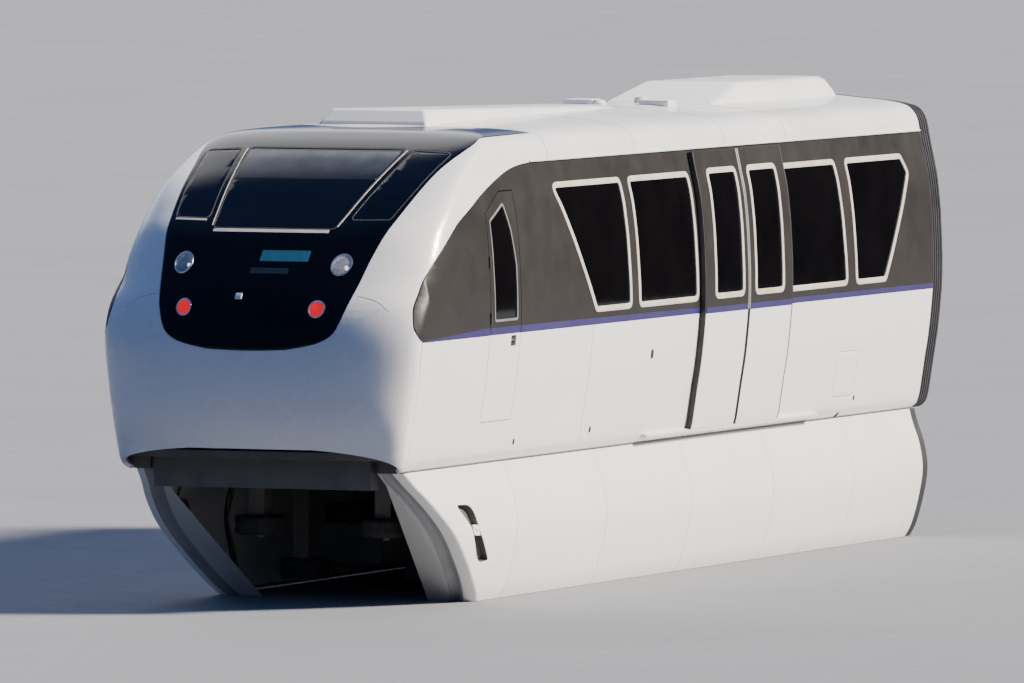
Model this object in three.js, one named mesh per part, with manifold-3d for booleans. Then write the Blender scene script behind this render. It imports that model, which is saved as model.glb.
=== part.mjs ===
// Leading car of a straddle-beam monorail train, built as separate panels, doors, glass and bogies.
// Millimetres. +X points forward to the nose, +Y to the car's left, +Z up.
// The origin lies on the running surface that the load tyres roll on, under the middle of the car.

import * as THREE from "three";
import { mergeVertices } from "three/addons/utils/BufferGeometryUtils.js";
import { ConvexGeometry } from "three/addons/geometries/ConvexGeometry.js";
import Module from "manifold-3d";

const wasm = await Module();
wasm.setup();

// Driving dimensions. A station is a distance behind the nose tip.
const CAR_LENGTH = 11030;
const NOSE_X = CAR_LENGTH / 2;
const WALL = 40;
const SEAM = 0.4;
const RUNNING_CLEARANCE = 6;
const CURVE_STEPS = 7;
// How far a cutting shape runs past the piece that it cuts.
const PAST = 100;

const BODY_BOTTOM = 200;
const FASCIA_BOTTOM = 380;
const BAND_BOTTOM = 1200;
const BAND_TOP = 2490;
const PANEL_FRONT = 362;
const ROOF_TOP = 2800;
const ROOF_START = 3100;
const FLOOR_BOTTOM = 300;
const FLOOR_TOP = 360;

// Body levels. Columns: height, half width, setback of the front on the centre line, setback where
// the side runs straight, and the roundness exponent of the plan curve that joins the two.
const LEVELS = [
  [200, 1115, 165, 360, 2.6],
  [240, 1165, 140, 360, 2.6],
  [300, 1190, 120, 360, 2.6],
  [380, 1206, 98, 360, 2.55],
  [600, 1240, 25, 360, 2.4],
  [850, 1280, 0, 360, 2.15],
  [1200, 1315, 20, 362, 2.05],
  [1450, 1320, 75, 480, 2.05],
  [1660, 1313, 200, 740, 2.15],
  [1850, 1303, 355, 890, 2.4],
  [2010, 1288, 500, 1050, 2.65],
  [2150, 1270, 715, 1155, 2.85],
  [2280, 1242, 925, 1270, 3.0],
  [2390, 1218, 1120, 1400, 3.05],
  [2490, 1198, 1310, 1600, 3.0],
  [2585, 1180, 1500, 1820, 2.85],
  [2660, 1140, 1680, 2000, 2.7],
  [2712, 1065, 1850, 2140, 2.6],
  [2745, 900, 2000, 2340, 2.5],
  [2772, 600, 2300, 2720, 2.45],
  [2800, 300, 2800, 3100, 2.4],
].map(([height, halfWidth, front, side, round]) => ({ height, halfWidth, front, side, round }));

// Front edge of the black band, from its lower corner up. Columns: station, height.
const BAND_FRONT = [
  [385, BAND_BOTTOM + SEAM / 2], [335, 1222], [305, 1270], [300, 1330], [350, 1461], [470, 1584],
  [620, 1730], [776, 1863], [1085, 2054], [1432, 2187], [1695, 2283], [2050, 2390], [2289, 2447],
  [2520, 2478], [2750, BAND_TOP - SEAM / 2],
];

// Lower edge of the nose panel. It rises over the underframe ahead of the skirts.
const FASCIA_EDGE = [
  [-PAST, 0], [-PAST, FASCIA_BOTTOM], [110, FASCIA_BOTTOM], [350, BODY_BOTTOM], [350, 0],
];

// Windows in the black band. Columns: name of the glazing they share, corners as [station, height].
const SIDE_WINDOWS = [
  ["front", [[3035, 2320], [4450, 2320], [4510, 1300], [3780, 1300]]],
  ["front", [[4600, 2320], [5860, 2320], [5890, 1300], [4660, 1300]]],
  ["rear", [[7850, 2320], [9000, 2320], [9110, 1300], [7850, 1300]]],
  ["rear", [[9220, 2320], [10480, 2320], [10590, 2170], [9950, 1300], [9290, 1300]]],
];
const WINDOW_RADIUS = 70;
const GLAZING = { setBack: 3, lap: 30, thickness: 10 };
const DOORWAY = { front: 5985, rear: 7745, bottom: FLOOR_TOP, top: 2400 };

// Sliding door leaves. Columns: name, front edge, rear edge, window front, window rear.
const LEAVES = [
  ["front", 5930, 6860, 6130, 6750],
  ["rear", 6870, 7800, 6980, 7600],
];
const LEAF = { bottom: 285, top: 2470, windowBottom: 1310, windowTop: 2325, thickness: 40, glass: 20 };
const LEAF_TRAVEL = 860;
const RAIL_END = 30;
const DOOR_RAIL = {
  front: LEAVES[0][1] - LEAF_TRAVEL - RAIL_END,
  rear: LEAVES[1][2] + LEAF_TRAVEL + RAIL_END,
  depth: 24,
  reach: RUNNING_CLEARANCE + 38,
};

// Hinged crew door, with its hinge line just outside the band.
const CREW_DOOR = [[1680, 530], [2275, 530], [2275, 2290], [2010, 2290], [1680, 2130]];
const CREW_WINDOW = [
  [1755, 1300], [2205, 1300], [2205, 1720], [2135, 2000], [2035, 2205], [1730, 2075],
];
const CREW_WINDOW_RADIUS = 25;
const CREW_GLASS = { outer: 10, inner: 30 };
const CREW_HINGE = {
  station: 1672, y: 1332, radius: 7, heights: [1330, 1760], knuckle: 40, strap: 7,
  foot: { from: 16, to: 60, depth: 45 },
};
const DOOR_GAP = 6;

// Front mask, seen from ahead. Columns: half width, height.
const MASK_SIDE = [
  [330, 1152], [500, 1182], [610, 1216], [690, 1270], [730, 1340], [752, 1400], [783, 1500],
  [820, 1640], [860, 1830], [905, 2000], [950, 2170], [990, 2330], [1030, 2485], [1085, 2605],
  [1100, 2660], [1080, 2700], [1075, 2900],
];
const MASK_TOP = {
  station: 2200, sweep: 800, halfWidth: 1040, power: 1.8, reach: 1200, pitch: 150, stop: 10,
};
const CENTRE_PANE = [[-500, 2045], [500, 2045], [650, 2615], [-650, 2615]];
const SIDE_PANE = [[590, 2112], [890, 2115], [955, 2330], [995, 2500], [1025, 2590], [724, 2605]];
const PANE_RADIUS = 25;
const PANE_THICKNESS = 20;

// Lamps on the mask. Columns: half spacing, height, radius, station of the lens, station of its back.
const LAMPS = [
  [655, 1780, 80, 320, 550],
  [550, 1452, 65, 95, 550],
];
const LAMP_BRACKET = { front: 500, rear: 550, inner: 520, outer: 680, bottom: 1400, top: 1820 };
const LAMP_HOLE = { station: 300, length: 1000 };

// Skirt panel section. Columns: half width, height.
const SKIRT_SECTION = [
  [1120, 199.6], [1150, 90], [1210, -80], [1240, -290], [1205, -520], [1140, -750], [1080, -860],
];
const SKIRT = { skin: 30, frontTop: 430, frontBottom: 1900, rear: 11000, flangeInner: 960, flange: 30 };
const SKIRT_RETURN = { innerTop: 950, innerBottom: 700, thickness: 60 };
const SKIRT_BOTTOM = -860;
// How far from the middle line the cutting shapes of the sides and of the skirts reach.
const SIDE_REACH = { inner: 700, outer: 1500 };
const SKIRT_REACH = { inner: 500, outer: 1500 };

// Bogies. Each is placed by its station.
const BOGIES = { front: 2350, rear: 8950 };
const BEAM_HALF_WIDTH = 330;
const LOAD_TYRE = { radius: 500, halfWidth: 190, rimRadius: 290, shoulder: 30 };
const AXLE = { radius: 45, halfLength: 430, height: 500, hubRadius: 110 };
const SIDE_WHEEL = { radius: 200, halfWidth: 70, bore: 30, offset: BEAM_HALF_WIDTH + 200 };
// Side wheels on a bogie. Columns: name, position ahead of the bogie centre, height.
const SIDE_WHEELS = [
  ["guide_wheel_fore", 850, -280],
  ["guide_wheel_aft", -850, -280],
  ["stabiliser_wheel", 0, -660],
];
const DECK = { halfLength: 1060, halfWidth: 640, bottom: 100, top: 180, wellLength: 570, wellWidth: 330 };
const HOUSING = { halfLength: 600, halfWidth: 500, wall: 25, top: 1130 };
const BEARER = { ahead: 700, y: 520, halfLength: 70, halfWidth: 60 };
const BRACKET = { halfLength: 130, thickness: 70, rise: 110 };
const LEG = { halfLength: 80, halfWidth: 65, clear: 8, spindleDrop: 30, lap: 10 };
const PIN_CLEARANCE = 0.9;
const HUB_OVERHANG = 90;

// Cross members under the floor, by the station of the front face. Two of them carry the equipment.
const CROSS_MEMBERS = [400, 1180, 3400, 4600, 5750, 6900, 7800, 10150, 10900];
const MEMBER_WIDTH = 100;
const EQUIPMENT_MEMBERS = [3, 5];

const UNDERFRAME = { floorFront: 180, front: 380, sillInner: 950, bolsterHalfLength: 1000, lap: 20 };
const NOSE_BEAM = { front: 330, rear: 480, halfWidth: 900, bottom: 70 };
const DRAWBAR = { front: 10400, halfWidth: 110, bottom: 110 };
const COUPLER = { front: 11000, rear: 11200, halfWidth: 70, bottom: 90, top: 190 };

// Boxes hung below the floor. Columns: front, rear.
const EQUIPMENT_BOXES = [[3700, 4900], [5050, 6250], [6400, 7600]];
const EQUIPMENT = { inner: 470, outer: 1050, bottom: -700, top: 110 };
const EQUIPMENT_LINK = { inner: 860, outer: 940, bottom: 30, top: 150 };
const CARRIER_BOTTOM = 90;

// Fairings on the roof. Columns: station, half width, height.
const FAIRINGS = {
  roof_fairing_front: [
    [2440, 460, 2600], [2440, 460, 2792], [2560, 390, 2895],
    [6500, 250, 2826], [6620, 290, 2800], [6620, 290, 2600],
  ],
  roof_fairing_rear: [
    [8250, 490, 2600], [8250, 490, 2785], [8950, 400, 2945],
    [10880, 400, 2945], [11000, 480, 2790], [11000, 480, 2600],
  ],
};

const BULKHEAD = { thickness: 50, paneFront: 35, paneRear: 15, radius: 60 };
const BULKHEAD_WINDOW = [[-380, 1250], [380, 1250], [380, 2200], [-380, 2200]];
const GANGWAY = { reach: 240, outerInset: 8, innerInset: 110, innerRaise: 90 };

const PARTITION = { front: 2962, rear: 3002, radius: 60 };
const PARTITION_WINDOW = [[-750, 1300], [750, 1300], [700, 2250], [-700, 2250]];
const FITTINGS_BOTTOM = FLOOR_TOP + SEAM;
const DESK = { halfWidth: 850, inset: 60 };
const DESK_PROFILE = [
  [640, FITTINGS_BOTTOM], [1000, FITTINGS_BOTTOM], [1000, 900], [1180, 960], [1160, 1040], [640, 1180],
];

// Section of a bench along the side. Columns: distance from the middle line, height.
const BENCH_SECTION = [
  [760, FITTINGS_BOTTOM], [1050, FITTINGS_BOTTOM], [1050, 700], [1150, 700], [1150, 1250],
  [1090, 1250], [1080, 810], [680, 810], [680, 730], [760, 700],
];
// Section of a bench across the car. Columns: distance from the wall behind it, height.
const CROSS_BENCH_SECTION = [
  [380, FITTINGS_BOTTOM], [100, FITTINGS_BOTTOM], [100, 700], [0, 700], [0, 1250],
  [60, 1250], [80, 810], [480, 810], [480, 730], [380, 700],
];
const BENCHES = {
  frontEnd: 5700,
  rearStart: 8050,
  rearEnd: CAR_LENGTH - BULKHEAD.thickness - 1,
  crossHalfWidth: 1000,
  inset: 20,
};
const GRAB_RAIL = { radius: 17, y: 480, top: 2150, poles: [5780, 7950], centre: 6900, length: 6200 };

const STEEL_SEGMENTS = 16;
const TYRE_SEGMENTS = 28;
const BAR_SEGMENTS = 8;
const HINGE_SEGMENTS = 12;

const MATERIALS = {
  white: { color: 0xe9e8e2, roughness: 0.35, metalness: 0.0 },
  blackGloss: { color: 0x14151a, roughness: 0.12, metalness: 0.0 },
  glass: { color: 0x1b2226, roughness: 0.05, metalness: 0.0 },
  grey: { color: 0x6d6f70, roughness: 0.6, metalness: 0.3 },
  darkSteel: { color: 0x2c2d2f, roughness: 0.7, metalness: 0.6 },
  rubber: { color: 0x17171a, roughness: 0.9, metalness: 0.0 },
  seat: { color: 0x2f4a73, roughness: 0.85, metalness: 0.0 },
  rail: { color: 0xb9bcc0, roughness: 0.3, metalness: 1.0 },
  lamp: { color: 0xd8dbe0, roughness: 0.1, metalness: 0.2 },
};

const car = new THREE.Group();
const back = (station) => NOSE_X - station;

// Solids

function toSolid(geometry) {
  const plain = geometry.clone();
  plain.deleteAttribute("normal");
  plain.deleteAttribute("uv");
  const merged = mergeVertices(plain, 1e-3);
  const vertProperties = new Float32Array(merged.attributes.position.array);
  const triVerts = new Uint32Array(merged.index.array);
  return new wasm.Manifold(new wasm.Mesh({ numProp: 3, vertProperties, triVerts }));
}

function toGeometry(solid) {
  const mesh = solid.getMesh();
  const geometry = new THREE.BufferGeometry();
  geometry.setAttribute("position", new THREE.BufferAttribute(new Float32Array(mesh.vertProperties), 3));
  geometry.setIndex(new THREE.BufferAttribute(new Uint32Array(mesh.triVerts), 1));
  return geometry;
}

function addMesh(name, solid, material) {
  const geometry = toGeometry(solid);
  geometry.computeVertexNormals();
  const mesh = new THREE.Mesh(geometry, new THREE.MeshStandardMaterial(MATERIALS[material]));
  mesh.name = name;
  car.add(mesh);
}

function extrude(outline, depth, basis, position) {
  const shape = new THREE.Shape(outline.map(([u, v]) => new THREE.Vector2(u, v)));
  const geometry = new THREE.ExtrudeGeometry(shape, { depth, bevelEnabled: false, steps: 1 });
  const matrix = new THREE.Matrix4().makeBasis(...basis).setPosition(position);
  return toSolid(geometry.applyMatrix4(matrix));
}

const UNIT_X = new THREE.Vector3(1, 0, 0);
const UNIT_Y = new THREE.Vector3(0, 1, 0);
const UNIT_Z = new THREE.Vector3(0, 0, 1);

// A prism along X of an outline of [y, z] corners, between two stations.
function alongX(outline, frontStation, rearStation) {
  const start = new THREE.Vector3(back(rearStation), 0, 0);
  return extrude(outline, rearStation - frontStation, [UNIT_Y, UNIT_Z, UNIT_X], start);
}

// A prism along Y of an outline of [station, z] corners, from one y to another.
function alongY(outline, y0, y1) {
  const low = Math.min(y0, y1);
  const high = Math.max(y0, y1);
  const corners = outline.map(([station, z]) => [back(station), z]);
  const down = UNIT_Y.clone().negate();
  return extrude(corners, high - low, [UNIT_X, UNIT_Z, down], new THREE.Vector3(0, high, 0));
}

// A prism along Z of an outline of [station, y] corners.
function alongZ(outline, z0, z1) {
  const corners = outline.map(([station, y]) => [back(station), y]);
  return extrude(corners, z1 - z0, [UNIT_X, UNIT_Y, UNIT_Z], new THREE.Vector3(0, 0, z0));
}

function box(frontStation, rearStation, y0, y1, z0, z1) {
  return alongX([[y0, z0], [y1, z0], [y1, z1], [y0, z1]], frontStation, rearStation);
}

function cylinder(radius, length, axis, centre, segments = STEEL_SEGMENTS) {
  const geometry = new THREE.CylinderGeometry(radius, radius, length, segments);
  geometry.applyQuaternion(new THREE.Quaternion().setFromUnitVectors(UNIT_Y, axis));
  geometry.translate(centre.x, centre.y, centre.z);
  return toSolid(geometry);
}

function lathe(profile, axis, centre, segments) {
  const points = profile.map(([radius, along]) => new THREE.Vector2(radius, along));
  const geometry = new THREE.LatheGeometry(points, segments);
  geometry.applyQuaternion(new THREE.Quaternion().setFromUnitVectors(UNIT_Y, axis));
  geometry.translate(centre.x, centre.y, centre.z);
  return toSolid(geometry);
}

const join = (solids) => solids.reduce((whole, solid) => whole.add(solid));
const cut = (whole, solids) => solids.reduce((rest, solid) => rest.subtract(solid), whole);

// Outlines

// Moves a closed outline outwards by a distance, or inwards where the distance is negative.
function grow(outline, distance) {
  const points = outline.map(([u, v]) => new THREE.Vector2(u, v));
  const turn = THREE.ShapeUtils.area(points) > 0 ? 1 : -1;
  return points.map((point, i) => {
    const before = points[(i + points.length - 1) % points.length];
    const after = points[(i + 1) % points.length];
    const in1 = point.clone().sub(before).normalize();
    const in2 = after.clone().sub(point).normalize();
    const n1 = new THREE.Vector2(in1.y, -in1.x).multiplyScalar(turn);
    const n2 = new THREE.Vector2(in2.y, -in2.x).multiplyScalar(turn);
    const middle = n1.clone().add(n2).normalize();
    const reach = distance / Math.max(middle.dot(n1), 0.3);
    return [point.x + middle.x * reach, point.y + middle.y * reach];
  });
}

// Rounds each corner of an outline with an arc of about the given radius.
function rounded(outline, radius, steps = 3) {
  const points = outline.map(([u, v]) => new THREE.Vector2(u, v));
  const result = [];
  points.forEach((corner, i) => {
    const before = points[(i + points.length - 1) % points.length].clone().sub(corner).normalize();
    const after = points[(i + 1) % points.length].clone().sub(corner).normalize();
    const half = before.angleTo(after) / 2;
    const reach = radius / Math.tan(half);
    const start = corner.clone().addScaledVector(before, reach);
    const end = corner.clone().addScaledVector(after, reach);
    const curve = new THREE.QuadraticBezierCurve(start, corner, end);
    curve.getPoints(steps).forEach((point) => result.push([point.x, point.y]));
  });
  return result;
}

const mirroredOutline = (outline) => outline.map(([y, z]) => [-y, z]).reverse();

// Body volume

// The level at a height, between the two levels nearest to it.
function levelBetween(levels, height) {
  const last = levels.length - 1;
  if (height <= levels[0].height) return { ...levels[0], height };
  if (height >= levels[last].height) return { ...levels[last], height };
  const i = levels.findIndex((level) => level.height > height);
  const low = levels[i - 1];
  const high = levels[i];
  const share = (height - low.height) / (high.height - low.height);
  const blend = (column) => low[column] + share * (high[column] - low[column]);
  return Object.fromEntries(Object.keys(low).map((column) => [column, blend(column)]));
}

const levelAt = (height, column) => levelBetween(LEVELS, height)[column];

// A level of the body moved inwards by a wall thickness, square to the side and to the front.
function insetLevel(index, inset) {
  const level = LEVELS[index];
  const low = LEVELS[Math.max(index - 1, 0)];
  const high = LEVELS[Math.min(index + 1, LEVELS.length - 1)];
  const rise = high.height - low.height;
  const sideNormal = new THREE.Vector2(rise, low.halfWidth - high.halfWidth).normalize();
  const frontNormal = new THREE.Vector2(rise, high.front - low.front).normalize();
  const height = level.height - inset * sideNormal.y;
  const front = levelAt(height + inset * frontNormal.y, "front") + inset * frontNormal.x;
  return {
    height,
    halfWidth: level.halfWidth - inset * sideNormal.x,
    front,
    side: level.side + 0.3 * inset,
    round: level.round,
  };
}

function planOutline({ halfWidth, front, side, round }, rearStation) {
  const outline = [[rearStation, -halfWidth]];
  for (let step = -CURVE_STEPS; step <= CURVE_STEPS; step += 1) {
    const angle = (step / CURVE_STEPS) * (Math.PI / 2);
    const across = Math.sign(step) * Math.abs(Math.sin(angle)) ** (2 / round);
    const ahead = Math.abs(Math.cos(angle)) ** (2 / round);
    outline.push([side + (front - side) * ahead, halfWidth * across]);
  }
  outline.push([rearStation, halfWidth]);
  return outline;
}

// The closed volume inside the body's skin, moved inwards by an inset.
function bodyVolume(inset, rearStation, bottom) {
  const levels = LEVELS.map((_, index) => insetLevel(index, inset));
  const lowest = levelBetween(levels, bottom);
  const kept = levels.filter((level) => level.height > bottom + 1);
  const rings = [lowest, ...kept].map((level) => ({
    z: level.height,
    points: planOutline(level, rearStation),
  }));
  const count = rings[0].points.length;
  const positions = [];
  rings.forEach(({ z, points }) => points.forEach(([s, y]) => positions.push(back(s), y, z)));
  const index = [];
  for (let ring = 0; ring < rings.length - 1; ring += 1) {
    for (let i = 0; i < count; i += 1) {
      const a = ring * count + i;
      const b = ring * count + ((i + 1) % count);
      index.push(a, b, b + count, a, b + count, a + count);
    }
  }
  const top = (rings.length - 1) * count;
  for (let i = 1; i < count - 1; i += 1) {
    index.push(0, i + 1, i);
    index.push(top, top + i, top + i + 1);
  }
  const geometry = new THREE.BufferGeometry();
  geometry.setAttribute("position", new THREE.Float32BufferAttribute(positions, 3));
  geometry.setIndex(index);
  return toSolid(geometry);
}

const FAR = 2000;
const outerVolume = bodyVolume(0, CAR_LENGTH, BODY_BOTTOM);
const innerVolume = bodyVolume(WALL, CAR_LENGTH + PAST, BODY_BOTTOM - PAST);
const fittedVolume = bodyVolume(WALL + SEAM, CAR_LENGTH, BODY_BOTTOM);
const shell = outerVolume.subtract(innerVolume);

// Regions that split the skin into panels

const panelOutline = [
  [PANEL_FRONT, BODY_BOTTOM - PAST], [PANEL_FRONT, BAND_BOTTOM - SEAM / 2],
  [CAR_LENGTH, BAND_BOTTOM - SEAM / 2], [CAR_LENGTH, BODY_BOTTOM - PAST],
];

const bandOutline = [
  [CAR_LENGTH, BAND_BOTTOM + SEAM / 2],
  ...BAND_FRONT,
  [CAR_LENGTH, BAND_TOP - SEAM / 2],
];

const roofOutline = [
  [ROOF_START, BAND_TOP + SEAM / 2], [ROOF_START, ROOF_TOP + PAST],
  [CAR_LENGTH, ROOF_TOP + PAST], [CAR_LENGTH, BAND_TOP + SEAM / 2],
];

function maskRegion(margin) {
  const front = [...mirroredOutline(MASK_SIDE), ...MASK_SIDE];
  const { station, sweep, halfWidth, power, reach, pitch } = MASK_TOP;
  const plan = [[-PAST, reach]];
  for (let y = reach; y >= -reach; y -= pitch) {
    plan.push([station + sweep * (Math.abs(y) / halfWidth) ** power, y]);
  }
  plan.push([-PAST, -reach]);
  return alongX(grow(front, margin), -PAST, ROOF_START - MASK_TOP.stop)
    .intersect(alongZ(grow(plan, margin), 0, ROOF_TOP + PAST));
}

// Side panels and window bands

function sideRegion(outline, sign, margin = 0) {
  return alongY(grow(outline, margin), sign * SIDE_REACH.inner, sign * SIDE_REACH.outer);
}

function doorwayCut(sign) {
  const { front, rear, bottom, top } = DOORWAY;
  return sideRegion([[front, bottom], [rear, bottom], [rear, top], [front, top]], sign);
}

function doorRail(sign) {
  const { front, rear, depth, reach } = DOOR_RAIL;
  const top = LEAF.bottom - SEAM;
  const bottom = top - depth;
  const outline = [[front, bottom], [rear, bottom], [rear, top], [front, top]];
  const reachVolume = bodyVolume(-reach, CAR_LENGTH, bottom - PAST);
  const wallVolume = bodyVolume(WALL / 2, CAR_LENGTH + PAST, bottom - 2 * PAST);
  return reachVolume.subtract(wallVolume).intersect(sideRegion(outline, sign));
}

// Hinge knuckles on the crew door's hinge line; the door carries the middle one of each three.
// Each has a barrel, a strap just outside the skin and a foot that runs into its own skin.
function hingeKnuckle(sign, height, carriedByDoor) {
  const { station, y, radius, knuckle, strap, foot } = CREW_HINGE;
  const direction = carriedByDoor ? 1 : -1;
  const levels = carriedByDoor ? [0] : [-1, 1];
  const length = knuckle - SEAM;
  const block = (from, to, depth, z) => {
    const stations = [station + direction * from, station + direction * to].sort((a, b) => a - b);
    const sides = [sign * y, sign * (y - depth)].sort((a, b) => a - b);
    return box(...stations, ...sides, z - length / 2, z + length / 2);
  };
  return join(levels.flatMap((level) => {
    const z = height + level * knuckle;
    const centre = new THREE.Vector3(back(station), sign * y, z);
    const barrel = cylinder(radius, length, UNIT_Z, centre, HINGE_SEGMENTS);
    return [barrel, block(0, foot.to, strap, z), block(foot.from, foot.to, foot.depth, z)];
  }));
}

function addSide(side, sign) {
  const crewOpening = sideRegion(grow(CREW_DOOR, DOOR_GAP), sign);
  const panel = cut(shell.intersect(sideRegion(panelOutline, sign)), [crewOpening, doorwayCut(sign)]);
  addMesh(`side_panel_${side}`, panel.add(doorRail(sign)), "white");

  const windowCuts = SIDE_WINDOWS.map(([, corners]) => sideRegion(rounded(corners, WINDOW_RADIUS), sign));
  const bandSkin = shell.intersect(sideRegion(bandOutline, sign));
  const knuckles = CREW_HINGE.heights.map((height) => hingeKnuckle(sign, height, false));
  const inside = bodyVolume(WALL / 2, CAR_LENGTH, 0);
  const fixedKnuckles = join(knuckles).subtract(inside).subtract(sideRegion(CREW_DOOR, sign));
  const band = cut(bandSkin, [crewOpening, doorwayCut(sign), ...windowCuts]).add(fixedKnuckles);
  addMesh(`window_band_${side}`, band, "blackGloss");
}

// Each glazing fills its two windows nearly flush and carries on behind the band.
function addGlazing(side, sign) {
  const { setBack, lap, thickness } = GLAZING;
  const inner = bodyVolume(WALL + thickness, CAR_LENGTH + PAST, -PAST);
  const pane = bodyVolume(setBack, CAR_LENGTH, 0).subtract(inner);
  const behind = fittedVolume.subtract(inner);
  for (const end of ["front", "rear"]) {
    const own = SIDE_WINDOWS.filter(([name]) => name === end).map(([, corners]) => corners);
    const stations = own.flat().map(([station]) => station);
    const heights = own.flat().map(([, height]) => height);
    const front = Math.min(...stations) - lap;
    const rear = Math.max(...stations) + lap;
    const low = Math.min(...heights) - lap;
    const high = Math.max(...heights) + lap;
    const field = sideRegion([[front, low], [rear, low], [rear, high], [front, high]], sign);
    const plugs = own.map((corners) => {
      const outline = grow(rounded(corners, WINDOW_RADIUS), -SEAM);
      return pane.intersect(sideRegion(outline, sign));
    });
    addMesh(`glazing_${end}_${side}`, join([behind.intersect(field), ...plugs]), "glass");
  }
}

function addDoorLeaves(side, sign) {
  const inner = RUNNING_CLEARANCE;
  const outer = inner + LEAF.thickness;
  const skin = bodyVolume(-outer, CAR_LENGTH, 0).subtract(bodyVolume(-inner, CAR_LENGTH + PAST, -PAST));
  const middle = inner + LEAF.thickness / 2;
  const glassSkin = bodyVolume(-middle - LEAF.glass / 2, CAR_LENGTH, 0)
    .subtract(bodyVolume(-middle + LEAF.glass / 2, CAR_LENGTH + PAST, -PAST));
  for (const [name, front, rear, windowFront, windowRear] of LEAVES) {
    const outline = [[front, LEAF.bottom], [rear, LEAF.bottom], [rear, LEAF.top], [front, LEAF.top]];
    const { windowBottom, windowTop } = LEAF;
    const hole = rounded([
      [windowFront, windowBottom], [windowRear, windowBottom],
      [windowRear, windowTop], [windowFront, windowTop],
    ], WINDOW_RADIUS);
    const leaf = skin.intersect(sideRegion(outline, sign)).subtract(sideRegion(hole, sign));
    addMesh(`door_leaf_${name}_${side}`, leaf, "white");
    const pane = glassSkin.intersect(sideRegion(grow(hole, -SEAM), sign));
    addMesh(`door_glass_${name}_${side}`, pane, "glass");
  }
}

function addCrewDoor(side, sign) {
  const hole = rounded(CREW_WINDOW, CREW_WINDOW_RADIUS, 2);
  const knuckles = CREW_HINGE.heights.map((height) => hingeKnuckle(sign, height, true));
  const inside = bodyVolume(WALL / 2, CAR_LENGTH, 0);
  const doorKnuckles = join(knuckles).subtract(inside);
  const door = shell.intersect(sideRegion(CREW_DOOR, sign))
    .subtract(sideRegion(hole, sign))
    .add(doorKnuckles);
  addMesh(`crew_door_${side}`, door, "white");
  const glassSkin = bodyVolume(CREW_GLASS.outer, CAR_LENGTH, 0)
    .subtract(bodyVolume(CREW_GLASS.inner, CAR_LENGTH + PAST, -PAST));
  addMesh(`crew_glass_${side}`, glassSkin.intersect(sideRegion(grow(hole, -SEAM), sign)), "glass");
}

// Nose, mask, windshields and lamps

function addNose() {
  const taken = [
    maskRegion(SEAM),
    alongY(grow(roofOutline, SEAM), -FAR, FAR),
    alongY(FASCIA_EDGE, -FAR, FAR),
  ];
  for (const sign of [1, -1]) {
    taken.push(sideRegion(grow(panelOutline, SEAM), sign));
    taken.push(sideRegion(grow(bandOutline, SEAM), sign));
  }
  addMesh("nose_shell", cut(shell, taken), "white");
}

function addMask() {
  const lampHoles = LAMPS.flatMap(([spacing, height, radius]) => [1, -1].map((sign) => {
    const centre = new THREE.Vector3(back(LAMP_HOLE.station), sign * spacing, height);
    return cylinder(radius + SEAM, LAMP_HOLE.length, UNIT_X, centre);
  }));
  const panes = [
    ["windshield_centre", CENTRE_PANE],
    ["windshield_left", SIDE_PANE],
    ["windshield_right", mirroredOutline(SIDE_PANE)],
  ].map(([name, outline]) => [name, rounded(outline, PANE_RADIUS, 2)]);
  const paneCuts = panes.map(([, outline]) => alongX(outline, 0, ROOF_START));
  addMesh("front_mask", cut(shell.intersect(maskRegion(0)), [...paneCuts, ...lampHoles]), "blackGloss");

  const paneSkin = outerVolume.subtract(bodyVolume(PANE_THICKNESS, CAR_LENGTH + PAST, 0));
  for (const [name, outline] of panes) {
    addMesh(name, paneSkin.intersect(alongX(grow(outline, -SEAM), 0, ROOF_START)), "glass");
  }
}

function addLamps(side, sign) {
  const lamps = LAMPS.map(([spacing, height, radius, front, rear]) => {
    const centre = new THREE.Vector3(back((front + rear) / 2), sign * spacing, height);
    return cylinder(radius, rear - front, UNIT_X, centre);
  });
  const { front, rear, inner, outer, bottom, top } = LAMP_BRACKET;
  const y0 = sign > 0 ? inner : -outer;
  const y1 = sign > 0 ? outer : -inner;
  const bracket = box(front, rear, y0, y1, bottom, top);
  addMesh(`lamp_cluster_${side}`, join([...lamps, bracket]).intersect(outerVolume), "lamp");
}

// Roof, fairings and rear end

function addRoof() {
  const roof = shell.intersect(alongY(roofOutline, -FAR, FAR));
  addMesh("roof", roof, "white");
  const seat = bodyVolume(-SEAM, CAR_LENGTH + PAST, 0);
  for (const [name, corners] of Object.entries(FAIRINGS)) {
    const points = corners.flatMap(([station, halfWidth, z]) => [
      new THREE.Vector3(back(station), halfWidth, z),
      new THREE.Vector3(back(station), -halfWidth, z),
    ]);
    addMesh(name, toSolid(new ConvexGeometry(points)).subtract(seat), "white");
  }
}

function addRearEnd() {
  const { thickness, paneFront, paneRear, radius } = BULKHEAD;
  const wallBox = box(CAR_LENGTH - thickness, CAR_LENGTH, -FAR, FAR, FLOOR_TOP + SEAM, FAR * 2);
  const opening = rounded(BULKHEAD_WINDOW, radius);
  const wall = fittedVolume.intersect(wallBox).subtract(alongX(opening, CAR_LENGTH - FAR, CAR_LENGTH + PAST));
  addMesh("rear_bulkhead", wall, "grey");
  const pane = alongX(grow(opening, -SEAM), CAR_LENGTH - paneFront, CAR_LENGTH - paneRear);
  addMesh("bulkhead_glass", pane, "glass");

  const rear = CAR_LENGTH + GANGWAY.reach;
  const ring = bodyVolume(GANGWAY.outerInset, rear, BODY_BOTTOM)
    .subtract(bodyVolume(GANGWAY.innerInset, rear + PAST, BODY_BOTTOM + GANGWAY.innerRaise))
    .intersect(box(CAR_LENGTH + SEAM, rear, -FAR, FAR, 0, FAR * 2));
  addMesh("gangway_seal", ring, "rubber");
}

// Underframe with floor, sills, cross members, wheel housings, nose beam and drawbar pocket

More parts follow.
